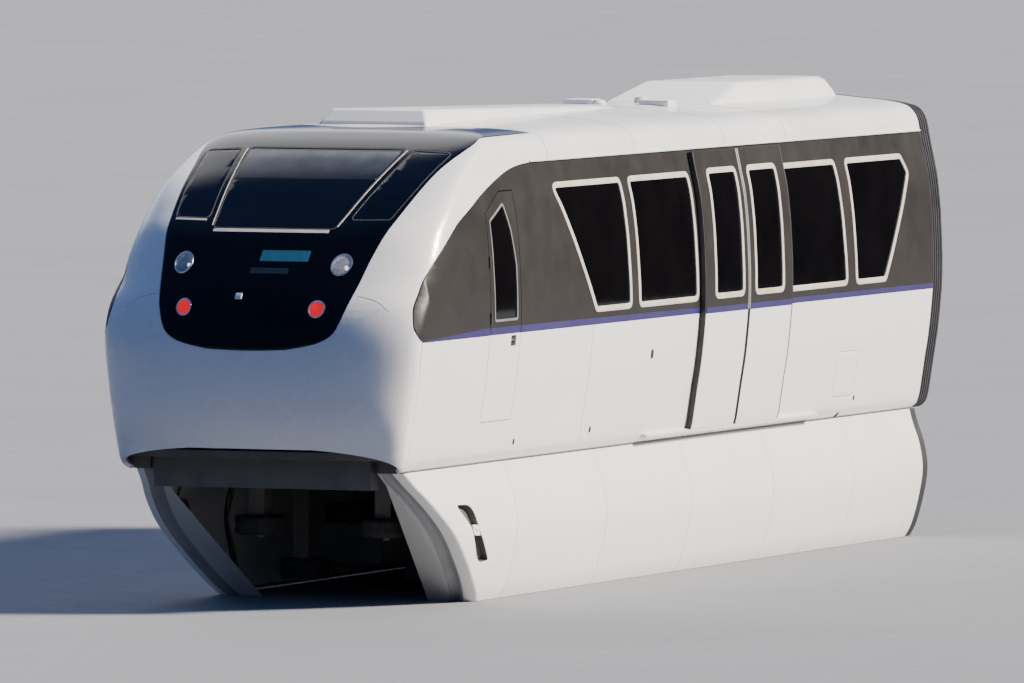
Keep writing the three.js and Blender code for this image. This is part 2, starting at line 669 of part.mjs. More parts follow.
function addUnderframe() {
  const { floorFront, front, sillInner, bolsterHalfLength, lap } = UNDERFRAME;
  const floor = fittedVolume.intersect(box(floorFront, CAR_LENGTH, -FAR, FAR, FLOOR_BOTTOM, FLOOR_TOP));
  const under = fittedVolume.intersect(box(front, CAR_LENGTH, -FAR, FAR, BODY_BOTTOM, FLOOR_BOTTOM + 1));
  const sills = under.intersect(join([
    box(front, CAR_LENGTH, sillInner, FAR, 0, FAR),
    box(front, CAR_LENGTH, -FAR, -sillInner, 0, FAR),
  ]));
  const members = CROSS_MEMBERS.map((station) => (
    under.intersect(box(station, station + MEMBER_WIDTH, -FAR, FAR, 0, FAR))
  ));
  const bolsters = Object.values(BOGIES).map((station) => (
    under.intersect(box(station - bolsterHalfLength, station + bolsterHalfLength, -FAR, FAR, 0, FAR))
  ));
  const { front: beamFront, rear: beamRear, halfWidth: beamHalf, bottom: beamBottom } = NOSE_BEAM;
  const noseBeam = box(beamFront, beamRear, -beamHalf, beamHalf, beamBottom, BODY_BOTTOM + lap);
  const riserBox = box(beamFront, beamRear, -beamHalf, beamHalf, BODY_BOTTOM, FLOOR_BOTTOM + 1);
  const noseRiser = fittedVolume.intersect(riserBox);
  const housings = Object.values(BOGIES).map((station) => {
    const { halfLength, halfWidth, top } = HOUSING;
    return box(station - halfLength, station + halfLength, -halfWidth, halfWidth, FLOOR_BOTTOM, top);
  });
  const wells = Object.values(BOGIES).map((station) => {
    const halfLength = HOUSING.halfLength - HOUSING.wall;
    const halfWidth = HOUSING.halfWidth - HOUSING.wall;
    const top = HOUSING.top - HOUSING.wall;
    return box(station - halfLength, station + halfLength, -halfWidth, halfWidth, 0, top);
  });
  const drawbar = join([
    box(DRAWBAR.front, CAR_LENGTH, -DRAWBAR.halfWidth, DRAWBAR.halfWidth, DRAWBAR.bottom, BODY_BOTTOM + lap),
    box(COUPLER.front, COUPLER.rear, -COUPLER.halfWidth, COUPLER.halfWidth, COUPLER.bottom, COUPLER.top),
  ]);
  const whole = join([floor, sills, ...members, ...bolsters, noseBeam, noseRiser, ...housings, drawbar]);
  addMesh("underframe", cut(whole, wells), "darkSteel");
}

// Skirt panels that hang beside the beam, each with a raked front return and a top flange

function addSkirt(side, sign) {
  const innerSide = SKIRT_SECTION.map(([y, z]) => [y - SKIRT.skin, z]).reverse();
  const top = SKIRT_SECTION[0][1];
  const section = [
    ...SKIRT_SECTION,
    ...innerSide.slice(0, -1),
    [SKIRT_SECTION[0][0] - SKIRT.skin, top - SKIRT.flange],
    [SKIRT.flangeInner, top - SKIRT.flange],
    [SKIRT.flangeInner, top],
  ];
  const { frontTop, frontBottom, rear } = SKIRT;
  const sided = (outline) => (sign > 0 ? outline : mirroredOutline(outline));
  const skin = alongX(sided(section), frontTop, rear);
  const returnSection = [
    [SKIRT_RETURN.innerTop, top], ...SKIRT_SECTION, [SKIRT_RETURN.innerBottom, SKIRT_BOTTOM],
  ];
  const plate = alongX(sided(returnSection), frontTop, rear);
  const raked = (outline) => alongY(outline, sign * SKIRT_REACH.inner, sign * SKIRT_REACH.outer);
  const high = top + 1;
  const low = SKIRT_BOTTOM - 1;
  const { thickness } = SKIRT_RETURN;
  const returnSlab = raked([
    [frontTop, high], [frontTop + thickness, high], [frontBottom + thickness, low], [frontBottom, low],
  ]);
  const ahead = raked([[-PAST, high], [frontTop, high], [frontBottom, low], [-PAST, low]]);
  addMesh(`skirt_${side}`, skin.subtract(ahead).add(plate.intersect(returnSlab)), "white");
}

function addEquipment() {
  const onSide = (sign, front, rear, { inner, outer, bottom, top }) => (
    sign > 0 ? box(front, rear, inner, outer, bottom, top) : box(front, rear, -outer, -inner, bottom, top)
  );
  const first = EQUIPMENT_BOXES[0][0];
  const last = EQUIPMENT_BOXES[EQUIPMENT_BOXES.length - 1][1];
  const sides = [1, -1].flatMap((sign) => [
    ...EQUIPMENT_BOXES.map(([front, rear]) => onSide(sign, front, rear, EQUIPMENT)),
    onSide(sign, first, last, EQUIPMENT_LINK),
  ]);
  const carriers = EQUIPMENT_MEMBERS.map((index) => {
    const station = CROSS_MEMBERS[index];
    const { outer } = EQUIPMENT_LINK;
    return box(station, station + MEMBER_WIDTH, -outer, outer, CARRIER_BOTTOM, BODY_BOTTOM - SEAM);
  });
  addMesh("underfloor_equipment", join([...sides, ...carriers]), "grey");
}

// Cab and saloon fittings

function addInterior() {
  const { front, rear, radius: windowRadius } = PARTITION;
  const partition = fittedVolume.intersect(box(front, rear, -FAR, FAR, FITTINGS_BOTTOM, FAR * 2));
  const partitionWindow = rounded(PARTITION_WINDOW, windowRadius);
  addMesh("cab_partition", partition.subtract(alongX(partitionWindow, front - PAST, rear + PAST)), "grey");

  const desk = alongY(DESK_PROFILE, -DESK.halfWidth, DESK.halfWidth)
    .intersect(bodyVolume(WALL + DESK.inset, CAR_LENGTH, 0));
  addMesh("control_desk", desk, "darkSteel");

  const benches = (benchFront, benchRear) => [BENCH_SECTION, mirroredOutline(BENCH_SECTION)]
    .map((section) => alongX(section, benchFront, benchRear));
  const crossBench = (backStation, direction) => {
    const profile = CROSS_BENCH_SECTION.map(([distance, z]) => [backStation + direction * distance, z]);
    return alongY(profile, -BENCHES.crossHalfWidth, BENCHES.crossHalfWidth);
  };
  const { frontEnd, rearStart, rearEnd, inset } = BENCHES;
  const cabin = bodyVolume(WALL + inset, CAR_LENGTH, 0);
  const frontStart = rear + SEAM;
  const frontSeats = join([...benches(frontStart, frontEnd), crossBench(frontStart, 1)]).intersect(cabin);
  const rearSeats = join([...benches(rearStart, rearEnd), crossBench(rearEnd, -1)]).intersect(cabin);
  addMesh("seats_front", frontSeats, "seat");
  addMesh("seats_rear", rearSeats, "seat");

  const { radius, y: railY, top: railTop, poles: poleStations, centre: middle, length } = GRAB_RAIL;
  const railZ = railTop - radius;
  const bar = (barLength, axis, station, y, z) => (
    cylinder(radius, barLength, axis, new THREE.Vector3(back(station), y, z), BAR_SEGMENTS)
  );
  const poles = poleStations.flatMap((station) => [railY, -railY].map((y) => (
    bar(railTop - FITTINGS_BOTTOM, UNIT_Z, station, y, (FITTINGS_BOTTOM + railTop) / 2)
  )));
  const rails = [railY, -railY].map((y) => bar(length, UNIT_X, middle, y, railZ));
  const ties = poleStations.map((station) => bar(2 * railY, UNIT_Y, station, 0, railZ));
  addMesh("grab_rails", join([...poles, ...rails, ...ties]), "rail");
}

// Bogies

function addBogie(end, station) {
  const at = (ahead, y, z) => new THREE.Vector3(back(station) + ahead, y, z);
  const { halfLength, halfWidth, bottom, top, wellLength, wellWidth } = DECK;
  const deck = box(station - halfLength, station + halfLength, -halfWidth, halfWidth, bottom, top);
  const well = box(station - wellLength, station + wellLength, -wellWidth, wellWidth, 0, FAR);
  // A block centred on a point ahead of the bogie centre, from one height to another.
  const block = (ahead, y, halfX, halfY, z0, z1) => (
    box(station - ahead - halfX, station - ahead + halfX, y - halfY, y + halfY, z0, z1)
  );
  const bearers = [1, -1].flatMap((endSign) => [1, -1].map((sign) => block(
    endSign * BEARER.ahead, sign * BEARER.y, BEARER.halfLength, BEARER.halfWidth, top - 1, BODY_BOTTOM - SEAM,
  )));
  const bracketY = wellWidth + BRACKET.thickness / 2;
  const brackets = [1, -1].map((sign) => block(
    0, sign * bracketY, BRACKET.halfLength, BRACKET.thickness / 2, bottom, AXLE.height + BRACKET.rise,
  ));
  const legs = SIDE_WHEELS.flatMap(([, ahead, height]) => [1, -1].map((sign) => {
    const legBottom = height + SIDE_WHEEL.halfWidth + LEG.clear;
    const y = sign * SIDE_WHEEL.offset;
    const leg = block(ahead, y, LEG.halfLength, LEG.halfWidth, legBottom, top - 1);
    const tip = height - SIDE_WHEEL.halfWidth - LEG.spindleDrop;
    const length = legBottom + LEG.lap - tip;
    const spindle = cylinder(SIDE_WHEEL.bore, length, UNIT_Z, at(ahead, y, tip + length / 2));
    return leg.add(spindle);
  }));
  const bore = cylinder(AXLE.radius + PIN_CLEARANCE, FAR, UNIT_Y, at(0, 0, AXLE.height));
  const frame = join([deck.subtract(well), ...bearers, ...brackets, ...legs]).subtract(bore);
  addMesh(`bogie_frame_${end}`, frame, "darkSteel");

  const { radius, halfWidth: tyreHalf, rimRadius, shoulder } = LOAD_TYRE;
  const rim = cylinder(rimRadius - SEAM, 2 * tyreHalf - 60, UNIT_Y, at(0, 0, AXLE.height), TYRE_SEGMENTS);
  const hub = cylinder(AXLE.hubRadius, 2 * (tyreHalf + HUB_OVERHANG), UNIT_Y, at(0, 0, AXLE.height));
  const axle = cylinder(AXLE.radius, 2 * AXLE.halfLength, UNIT_Y, at(0, 0, AXLE.height));
  addMesh(`load_axle_${end}`, join([rim, hub, axle]), "grey");
  const tyreProfile = [
    [rimRadius, -tyreHalf + 30], [rimRadius + 60, -tyreHalf], [radius - shoulder, -tyreHalf + 10],
    [radius, -tyreHalf + 50], [radius, tyreHalf - 50], [radius - shoulder, tyreHalf - 10],
    [rimRadius + 60, tyreHalf], [rimRadius, tyreHalf - 30], [rimRadius, -tyreHalf + 30],
  ];
  addMesh(`load_tyre_${end}`, lathe(tyreProfile, UNIT_Y, at(0, 0, AXLE.height), TYRE_SEGMENTS), "rubber");

  const { radius: wheelRadius, halfWidth: wheelHalf, bore: wheelBore, offset } = SIDE_WHEEL;
  const hole = wheelBore + PIN_CLEARANCE;
  const wheelProfile = [
    [hole, -wheelHalf], [wheelRadius - 15, -wheelHalf + 10], [wheelRadius, -wheelHalf + 30],
    [wheelRadius, wheelHalf - 30], [wheelRadius - 15, wheelHalf - 10], [hole, wheelHalf],
    [hole, -wheelHalf],
  ];
  for (const [name, ahead, height] of SIDE_WHEELS) {
    for (const [side, sign] of [["left", 1], ["right", -1]]) {
      const centre = at(ahead, sign * offset, height);
      addMesh(`${name}_${end}_${side}`, lathe(wheelProfile, UNIT_Z, centre, STEEL_SEGMENTS), "rubber");
    }
  }
}

addUnderframe();
for (const [side, sign] of [["left", 1], ["right", -1]]) {
  addSide(side, sign);
  addGlazing(side, sign);
  addDoorLeaves(side, sign);
  addCrewDoor(side, sign);
  addSkirt(side, sign);
  addLamps(side, sign);
}
addRoof();
addNose();
addMask();
addRearEnd();
addEquipment();
addInterior();
for (const [end, station] of Object.entries(BOGIES)) addBogie(end, station);

export default car;
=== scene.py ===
"""Looks of a monorail's leading car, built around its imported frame.

Lengths are metres in the car's own frame: +X forward to the nose, +Y to the car's left, +Z up, with
z = 0 on the running surface of the beam. A station is a distance behind the nose tip. Skin panels are
built flat, as plates with holes and rounded edges, and are then bent onto the hull or the skirt.
"""

import bisect
import logging
import math
import random
from dataclasses import dataclass, replace
from enum import Enum
from typing import Callable, Iterable, Sequence

import bmesh
import bpy
from mathutils import Matrix, Vector


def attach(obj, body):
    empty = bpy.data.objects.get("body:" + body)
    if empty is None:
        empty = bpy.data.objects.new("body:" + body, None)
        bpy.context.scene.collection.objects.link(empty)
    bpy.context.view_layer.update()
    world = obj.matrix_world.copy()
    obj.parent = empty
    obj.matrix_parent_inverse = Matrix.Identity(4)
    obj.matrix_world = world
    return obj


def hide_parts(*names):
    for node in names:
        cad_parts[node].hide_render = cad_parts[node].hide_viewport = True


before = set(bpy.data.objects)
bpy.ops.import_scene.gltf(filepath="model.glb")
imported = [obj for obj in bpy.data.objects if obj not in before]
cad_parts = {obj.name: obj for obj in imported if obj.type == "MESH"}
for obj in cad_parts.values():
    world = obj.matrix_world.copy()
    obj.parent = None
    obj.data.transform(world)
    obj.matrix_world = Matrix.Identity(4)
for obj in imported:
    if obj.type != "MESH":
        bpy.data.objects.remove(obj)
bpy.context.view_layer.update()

LOG = logging.getLogger("monorail_car")

Point2 = tuple[float, float]
Outline = list[Point2]
Place = Callable[[float, float, float], Vector]
Colour = tuple[float, float, float]
Mesh = bmesh.types.BMesh
Socket = bpy.types.NodeSocket

NOSE_X = 5.515
WALL = 0.040
BAND_BOTTOM = 1.200
BAND_TOP = 2.490
ROOF_START = 3.100


class Side(Enum):
    """The two sides of the car, with the sign of their Y."""

    LEFT = 1
    RIGHT = -1

    @property
    def label(self) -> str:
        """The side's name in node names."""
        return self.name.lower()


class End(Enum):
    """The two ends of the car, or of a pair of doors."""

    FRONT = "front"
    REAR = "rear"


def station_x(station: float) -> float:
    """The X of a station."""
    return NOSE_X - station


# Outlines


def rounded(corners: Sequence[Point2], radius: float, steps: int = 5) -> Outline:
    """Rounds each corner of a closed outline.

    Args:
        corners: The outline's corners.
        radius: About the radius of each rounding.
        steps: How many stretches each rounding has.

    Returns:
        The outline with an arc of points at each corner.
    """
    points = [Vector(corner) for corner in corners]
    result: Outline = []
    for i, corner in enumerate(points):
        before = (points[i - 1] - corner).normalized()
        after = (points[(i + 1) % len(points)] - corner).normalized()
        reach = radius / math.tan(before.angle(after) / 2)
        start, end = corner + before * reach, corner + after * reach
        for k in range(steps + 1):
            t = k / steps
            point = start * (1 - t) ** 2 + corner * 2 * t * (1 - t) + end * t**2
            result.append((point.x, point.y))
    return result


def grown(outline: Sequence[Point2], distance: float) -> Outline:
    """Moves a closed outline outwards, or inwards where the distance is negative.

    Args:
        outline: The closed outline.
        distance: How far each of its edges moves.

    Returns:
        The moved outline.
    """
    points = [Vector(point) for point in outline]
    area = sum(a.x * b.y - b.x * a.y for a, b in zip(points, points[1:] + points[:1]))
    turn = 1 if area > 0 else -1
    result: Outline = []
    for i, point in enumerate(points):
        along_in = (point - points[i - 1]).normalized()
        along_out = (points[(i + 1) % len(points)] - point).normalized()
        normal_in = Vector((along_in.y, -along_in.x)) * turn
        normal_out = Vector((along_out.y, -along_out.x)) * turn
        middle = (normal_in + normal_out).normalized()
        moved = point + middle * (distance / max(middle.dot(normal_in), 0.3))
        result.append((moved.x, moved.y))
    return result


def rectangle(u0: float, u1: float, v0: float, v1: float) -> Outline:
    """The outline of a rectangle."""
    return [(u0, v0), (u1, v0), (u1, v1), (u0, v1)]


def circle(u: float, v: float, radius: float, steps: int = 32) -> Outline:
    """The outline of a circle."""
    turns = (2 * math.pi * k / steps for k in range(steps))
    return [(u + radius * math.cos(turn), v + radius * math.sin(turn)) for turn in turns]


def densified(outline: Sequence[Point2], step: float) -> Outline:
    """Splits the edges of a closed outline.

    Args:
        outline: The closed outline.
        step: The longest edge that stays whole.

    Returns:
        The outline with more points on the same edges.
    """
    result: Outline = []
    for a, b in zip(outline, [*outline[1:], outline[0]]):
        count = max(1, math.ceil(math.dist(a, b) / step))
        for k in range(count):
            t = k / count
            result.append((a[0] + (b[0] - a[0]) * t, a[1] + (b[1] - a[1]) * t))
    return result


def mirrored(outline: Sequence[Point2]) -> Outline:
    """The outline with its first coordinate turned round."""
    return [(-u, v) for u, v in reversed(outline)]


def spline(before: float, start: float, end: float, after: float, t: float) -> float:
    """A smooth value between start and end, with its neighbours giving the slopes.

    Args:
        before: The value before start.
        start: The value where t is 0.
        end: The value where t is 1.
        after: The value after end.
        t: The share of the way from start to end.

    Returns:
        The value there.
    """
    slope_start = (end - before) / 2
    slope_end = (after - start) / 2
    a = 2 * start - 2 * end + slope_start + slope_end
    b = -3 * start + 3 * end - 2 * slope_start - slope_end
    return ((a * t + b) * t + slope_start) * t + start


def curve_point(points: Sequence[Sequence[float]], i: int, t: float) -> tuple[float, ...]:
    """The place on a smooth curve through points, at a share t of the stretch after point i."""
    rows = [points[min(max(k, 0), len(points) - 1)] for k in (i - 1, i, i + 1, i + 2)]
    return tuple(spline(*values, t) for values in zip(*rows))


def smooth_through(points: Sequence[Point2], steps: int) -> Outline:
    """An open curve through points.

    Args:
        points: What the curve passes through.
        steps: How many stretches lie between two points.

    Returns:
        The points of the curve, both ends included.
    """
    curve = [curve_point(points, i, k / steps) for i in range(len(points) - 1) for k in range(steps)]
    return [*curve, tuple(points[-1])]


# Surfaces


@dataclass(frozen=True)
class Level:
    """One height of the hull.

    Attributes:
        height: Its Z.
        half_width: Half the width of the body there.
        front: The station of the nose on the centre line.
        side: The station where the side starts to run straight.
        roundness: The exponent of the plan curve from front to side.
    """

    height: float
    half_width: float
    front: float
    side: float
    roundness: float


class Hull:
    """The outer surface of the body, smooth through its levels.

    A place on it is a turn and a level. The turn runs from -1 at the right side over 0 at the nose
    to 1 at the left side, and past those it counts metres of straight side. The level is a row of
    the table, with places between rows.
    """

    # The fields of each level, from the sill to the crown of the roof.
    LEVELS = (
        (0.200, 1.115, 0.165, 0.360, 2.60),
        (0.240, 1.165, 0.140, 0.360, 2.60),
        (0.300, 1.190, 0.120, 0.360, 2.60),
        (0.380, 1.206, 0.098, 0.360, 2.55),
        (0.600, 1.240, 0.025, 0.360, 2.40),
        (0.850, 1.280, 0.000, 0.360, 2.15),
        (1.200, 1.315, 0.020, 0.362, 2.05),
        (1.450, 1.320, 0.075, 0.480, 2.05),
        (1.660, 1.313, 0.200, 0.740, 2.15),
        (1.850, 1.303, 0.355, 0.890, 2.40),
        (2.010, 1.288, 0.500, 1.050, 2.65),
        (2.150, 1.270, 0.715, 1.155, 2.85),
        (2.280, 1.242, 0.925, 1.270, 3.00),
        (2.390, 1.218, 1.120, 1.400, 3.05),
        (2.490, 1.198, 1.310, 1.600, 3.00),
        (2.585, 1.180, 1.500, 1.820, 2.85),
        (2.660, 1.140, 1.680, 2.000, 2.70),
        (2.712, 1.065, 1.850, 2.140, 2.60),
        (2.745, 0.900, 2.000, 2.340, 2.50),
        (2.772, 0.600, 2.300, 2.720, 2.45),
        (2.800, 0.300, 2.800, 3.100, 2.40),
    )
    TOP = len(LEVELS) - 1
    STEP = 1e-3
    SAMPLES = 40

    def __init__(self) -> None:
        """Tabulates the height at each level, which the inverse reads."""
        self.samples = [k / self.SAMPLES for k in range(self.TOP * self.SAMPLES + 1)]
        self.heights = [self.at(level).height for level in self.samples]
        self.band_level = self.level_of_height(BAND_TOP)

    def at(self, level: float) -> Level:
        """The smooth row at a level, which may lie between two rows."""
        i = min(max(int(level), 0), self.TOP - 1)
        return Level(*curve_point(self.LEVELS, i, min(max(level - i, 0.0), 1.0)))

    def level_of_height(self, height: float) -> float:
        """The level that has a height.

        Args:
            height: The height.

        Returns:
            The level.
        """
        i = min(max(bisect.bisect_left(self.heights, height), 1), len(self.heights) - 1)
        low, high = self.heights[i - 1], self.heights[i]
        share = (height - low) / (high - low)
        return self.samples[i - 1] + share * (self.samples[i] - self.samples[i - 1])

    def point(self, turn: float, level: float) -> Vector:
        """A point of the surface.

        Args:
            turn: Its turn.
            level: Its level.

        Returns:
            The point.
        """
        row = self.at(level)
        beyond = max(abs(turn) - 1, 0.0)
        angle = min(abs(turn), 1.0) * math.pi / 2
        ahead, across = max(math.cos(angle), 0.0), math.sin(angle)
        reach = (ahead**row.roundness + across**row.roundness) ** (-1 / row.roundness)
        station = row.side + (row.front - row.side) * reach * ahead + beyond
        y = math.copysign(row.half_width * reach * across, turn)
        return Vector((station_x(station), y, row.height))

    def place(self, turn: float, level: float, out: float) -> Vector:
        """A point outside the surface, or inside it where the distance is negative.

        Args:
            turn: Its turn.
            level: Its level.
            out: Its distance outside the surface.

        Returns:
            The point.
        """
        across = self.point(turn + self.STEP, level) - self.point(turn - self.STEP, level)
        above, below = min(level + self.STEP, self.TOP), max(level - self.STEP, 0)
        up = self.point(turn, above) - self.point(turn, below)
        return self.point(turn, level) + across.cross(up).normalized() * out

    def side_place(self, side: Side) -> Place:
        """How a flat panel of stations and heights is bent onto a side.

        Args:
            side: The side that carries the panel.

        Returns:
            A function from station, height and distance outside the skin to a point.
        """

        def place(station: float, height: float, out: float) -> Vector:
            """Bends one point."""
            level = self.level_of_height(height)
            return self.place(side.value * self.side_turn(station, level), level, out)

        return place

    def side_turn(self, station: float, level: float) -> float:
        """The turn of a station on the left side, which may lie ahead of the straight part.

        Args:
            station: The station.
            level: The level there.

        Returns:
            The turn.
        """
        row = self.at(level)
        ahead = (row.side - station) / (row.side - row.front)
        if ahead <= 0:
            return 1 + station - row.side
        return self.turn_at((1 - min(ahead, 1.0) ** row.roundness) ** (1 / row.roundness), ahead)

    def turn_at(self, across: float, ahead: float) -> float:
        """The turn of a point of the plan curve, given as shares of its two half axes."""
        return math.copysign(math.atan2(abs(across), max(ahead, 0.0)) / (math.pi / 2), across)

    def from_front(self, y: float, height: float) -> Point2:
        """Finds a point seen from ahead.

        Args:
            y: Its Y.
            height: Its height.

        Returns:
            Its turn and level.
        """
        level = self.level_of_height(height)
        row = self.at(level)
        share = min(abs(y) / row.half_width, 1.0)
        ahead = (1 - share**row.roundness) ** (1 / row.roundness)
        return self.turn_at(math.copysign(share, y), ahead), level

    def from_above(self, station: float, y: float) -> Point2:
        """Finds a point of the upper nose seen from above.

        Args:
            station: Its station.
            y: Its Y.

        Returns:
            Its turn and level.
        """
        low, high = self.level_of_height(2.2), float(self.TOP)
        for _ in range(40):
            level = (low + high) / 2
            row = self.at(level)
            ahead = max(row.side - station, 0.0) / (row.side - row.front)
            across = abs(y) / row.half_width
            if across**row.roundness + ahead**row.roundness < 1:
                low = level
            else:
                high = level
        if station > row.side:
            return math.copysign(1 + station - row.side, y), level
        return self.turn_at(math.copysign(across, y), ahead), level

    def front_place(self, y: float, height: float, out: float) -> Vector:
        """Bends a flat panel of Y and height onto the front of the nose."""
        return self.place(*self.from_front(y, height), out)

    def section(self, inset: float, steps: int = 4) -> Outline:
        """The outline of the body behind the nose, as Y and height.

        Args:
            inset: How far it lies inside the skin.
            steps: How many stretches lie between two levels.

        Returns:
            The closed outline from the lower left over the roof to the lower right.
        """
        place = self.side_place(Side.LEFT)
        half: Outline = []
        for k in range(self.TOP * steps + 1):
            level = min(max(k / steps, self.STEP), self.TOP - self.STEP)
            point = place(ROOF_START, self.at(level).height, -inset)
            half.append((point.y, point.z))
        return [*half, *mirrored(half)]


HULL = Hull()


@dataclass(frozen=True)
class Skirt:
    """The outer surface of a skirt: a bowed section with a raked front that turns inwards.

    A place on it is a run and a height. The run is 0 where the front corner starts, counts metres
    backwards below 0, and goes over the corner and the groove to the inner edge above 0.

    Attributes:
        top: The height of its upper edge.
        bottom: The height of its lower edge.
        front_top: The station of the front at the upper edge.
        front_bottom: The station of the front at the lower edge.
        rear: The station of its rear end.
        corner: The radius of the front corner.
        inner_top: The half width of the inner edge of the front at the upper edge.
        inner_bottom: The same at the lower edge.
    """

    top: float = 0.1996
    bottom: float = -0.860
    front_top: float = 0.430
    front_bottom: float = 1.900
    rear: float = 11.000
    corner: float = 0.075
    inner_top: float = 0.950
    inner_bottom: float = 0.700

    SECTION = (
        (1.120, 0.1996),
        (1.150, 0.090),
        (1.210, -0.080),
        (1.240, -0.290),
        (1.205, -0.520),
        (1.140, -0.750),
        (1.080, -0.860),
    )
    # The groove behind the front corner, as distances back and inwards from the corner.
    GROOVE = (
        (0.004, 0.100), (0.030, 0.125), (0.046, 0.150), (0.036, 0.178), (0.010, 0.192), (0.000, 0.215),
    )

    def curve(self) -> Outline:
        """The section as a smooth list of half width and height, from the top down."""
        return smooth_through(self.SECTION, 12)

    def front(self, height: float) -> float:
        """The station of the front at a height."""
        share = (self.top - height) / (self.top - self.bottom)
        return self.front_top + share * (self.front_bottom - self.front_top)

    def inner(self, height: float) -> float:
        """The half width of the front's inner edge at a height."""
        share = (self.top - height) / (self.top - self.bottom)
        return self.inner_top + share * (self.inner_bottom - self.inner_top)

    def half_width(self, height: float) -> float:
        """The half width of the skin at a height.

        Args:
            height: The height.

        Returns:
            The half width.
        """
        points = SKIRT_CURVE
        i = min(max(bisect.bisect_left([-z for _, z in points], -height), 1), len(points) - 1)
        (y0, z0), (y1, z1) = points[i - 1], points[i]
        return y0 + (y1 - y0) * (z0 - height) / (z0 - z1)

    def path(self, height: float, run: float) -> Point2:
        """A place on the path round the front at one height.

        Args:
            height: The height of the path.
            run: How far along the path.

        Returns:
            The station and half width there.
        """
        front, skin = self.front(height), self.half_width(height)
        if run <= 0:
            return front + self.corner - run, skin
        if run <= 1:
            angle = run * math.pi / 2
            return (
                front + self.corner * (1 - math.sin(angle)),
                skin - self.corner * (1 - math.cos(angle)),
            )
        knots = [(0.0, self.corner), *self.GROOVE]
        if run <= 2:
            place = (run - 1) * (len(knots) - 1)
            i = min(int(place), len(knots) - 2)
            back, inwards = curve_point(knots, i, place - i)
            return front + back, skin - inwards
        share = run - 2
        start = skin - self.GROOVE[-1][1]
        return front, start + share * (self.inner(height) - start)

    def place(self, side: Side) -> Place:
        """How a flat panel of runs and heights is bent onto a skirt.

        Args:
            side: The side that carries the skirt.

        Returns:
            A function from run, height and distance outside the skin to a point.
        """
        step = 1e-3

        def at(run: float, height: float) -> Vector:
            """The point of the left skin at a run and a height."""
            station, y = self.path(height, run)
            return Vector((station_x(station), y, height))

        def place(run: float, height: float, out: float) -> Vector:
            """Bends one point.

            Args:
                run: How far along the path.
                height: Its height.
                out: Its distance outside the skin.

            Returns:
                The point on this side.
            """
            along = at(run + step, height) - at(run - step, height)
            up = at(run, height + step) - at(run, height - step)
            point = at(run, height) + up.cross(along).normalized() * out
            return Vector((point.x, side.value * point.y, point.z))

        return place

    def run_of(self, station: float, height: float) -> float:
        """The run of a station on the straight skin."""
        return self.front(height) + self.corner - station


SKIRT = Skirt()
SKIRT_CURVE = SKIRT.curve()


# Finishes


class Pattern(Enum):
    """What gives a finish its fine relief."""

    PAINT = "paint"
    MOULDED = "moulded"
    BRUSHED = "brushed"
    WOVEN = "woven"
    RUBBER = "rubber"


class Graph:
    """A short way to write shader nodes."""

    def __init__(self, tree: bpy.types.NodeTree, space: str = "Object") -> None:
        """Works on a node tree, with the texture coordinates of a space."""
        self.tree = tree
        self.coordinates = tree.nodes.new("ShaderNodeTexCoord").outputs[space]

    def fill(self, node: bpy.types.Node, inputs: dict) -> None:
        """Gives a node's sockets their values, or links them to other sockets.

        Args:
            node: The node.
            inputs: Sockets by name or number, each with a value or another node's output.
        """
        for key, value in inputs.items():
            if isinstance(value, Socket):
                self.tree.links.new(value, node.inputs[key])
            else:
                node.inputs[key].default_value = value

    def node(self, kind: str, inputs: dict, **settings: object) -> bpy.types.Node:
        """Adds a node.

        Args:
            kind: The node's type.
            inputs: Sockets by name or number, each with a value or another node's output.
            settings: The node's own properties.

        Returns:
            The new node.
        """
        made = self.tree.nodes.new(kind)
        for key, value in settings.items():
            setattr(made, key, value)
        self.fill(made, inputs)
        return made

    def noise(self, scale: float, detail: float, stretch: Sequence[float] = (1, 1, 1)) -> Socket:
        """Noise on the object's coordinates, stretched along its axes.

        Args:
            scale: How fine it is.
            detail: How many finer layers it has.
            stretch: Its scale along each axis.

        Returns:
            The noise, from 0 to 1.
        """
        mapping = self.node("ShaderNodeMapping", {"Vector": self.coordinates, "Scale": tuple(stretch)})
        made = self.node(
            "ShaderNodeTexNoise",
            {"Vector": mapping.outputs["Vector"], "Scale": scale, "Detail": detail, "Roughness": 0.55},
        )
        return made.outputs["Fac"]

    def ramp(self, value: Socket, low: float, high: float, start: float, end: float) -> Socket:
        """Maps a value from one range to another, clamped."""
        inputs = {"Value": value, "From Min": low, "From Max": high, "To Min": start, "To Max": end}
        return self.node("ShaderNodeMapRange", inputs, clamp=True).outputs["Result"]

    def times(self, a: Socket, b: Socket) -> Socket:
        """The product of two values."""
        return self.node("ShaderNodeMath", {0: a, 1: b}, operation="MULTIPLY").outputs[0]

    def mix(self, share: Socket, a: Socket | Colour, b: Socket | Colour) -> Socket:
        """A colour between two colours, each a value or a socket."""
        first, second = (value if isinstance(value, Socket) else (*value, 1.0) for value in (a, b))
        return self.node("ShaderNodeMix", {"Factor": share, 6: first, 7: second}, data_type="RGBA").outputs[2]


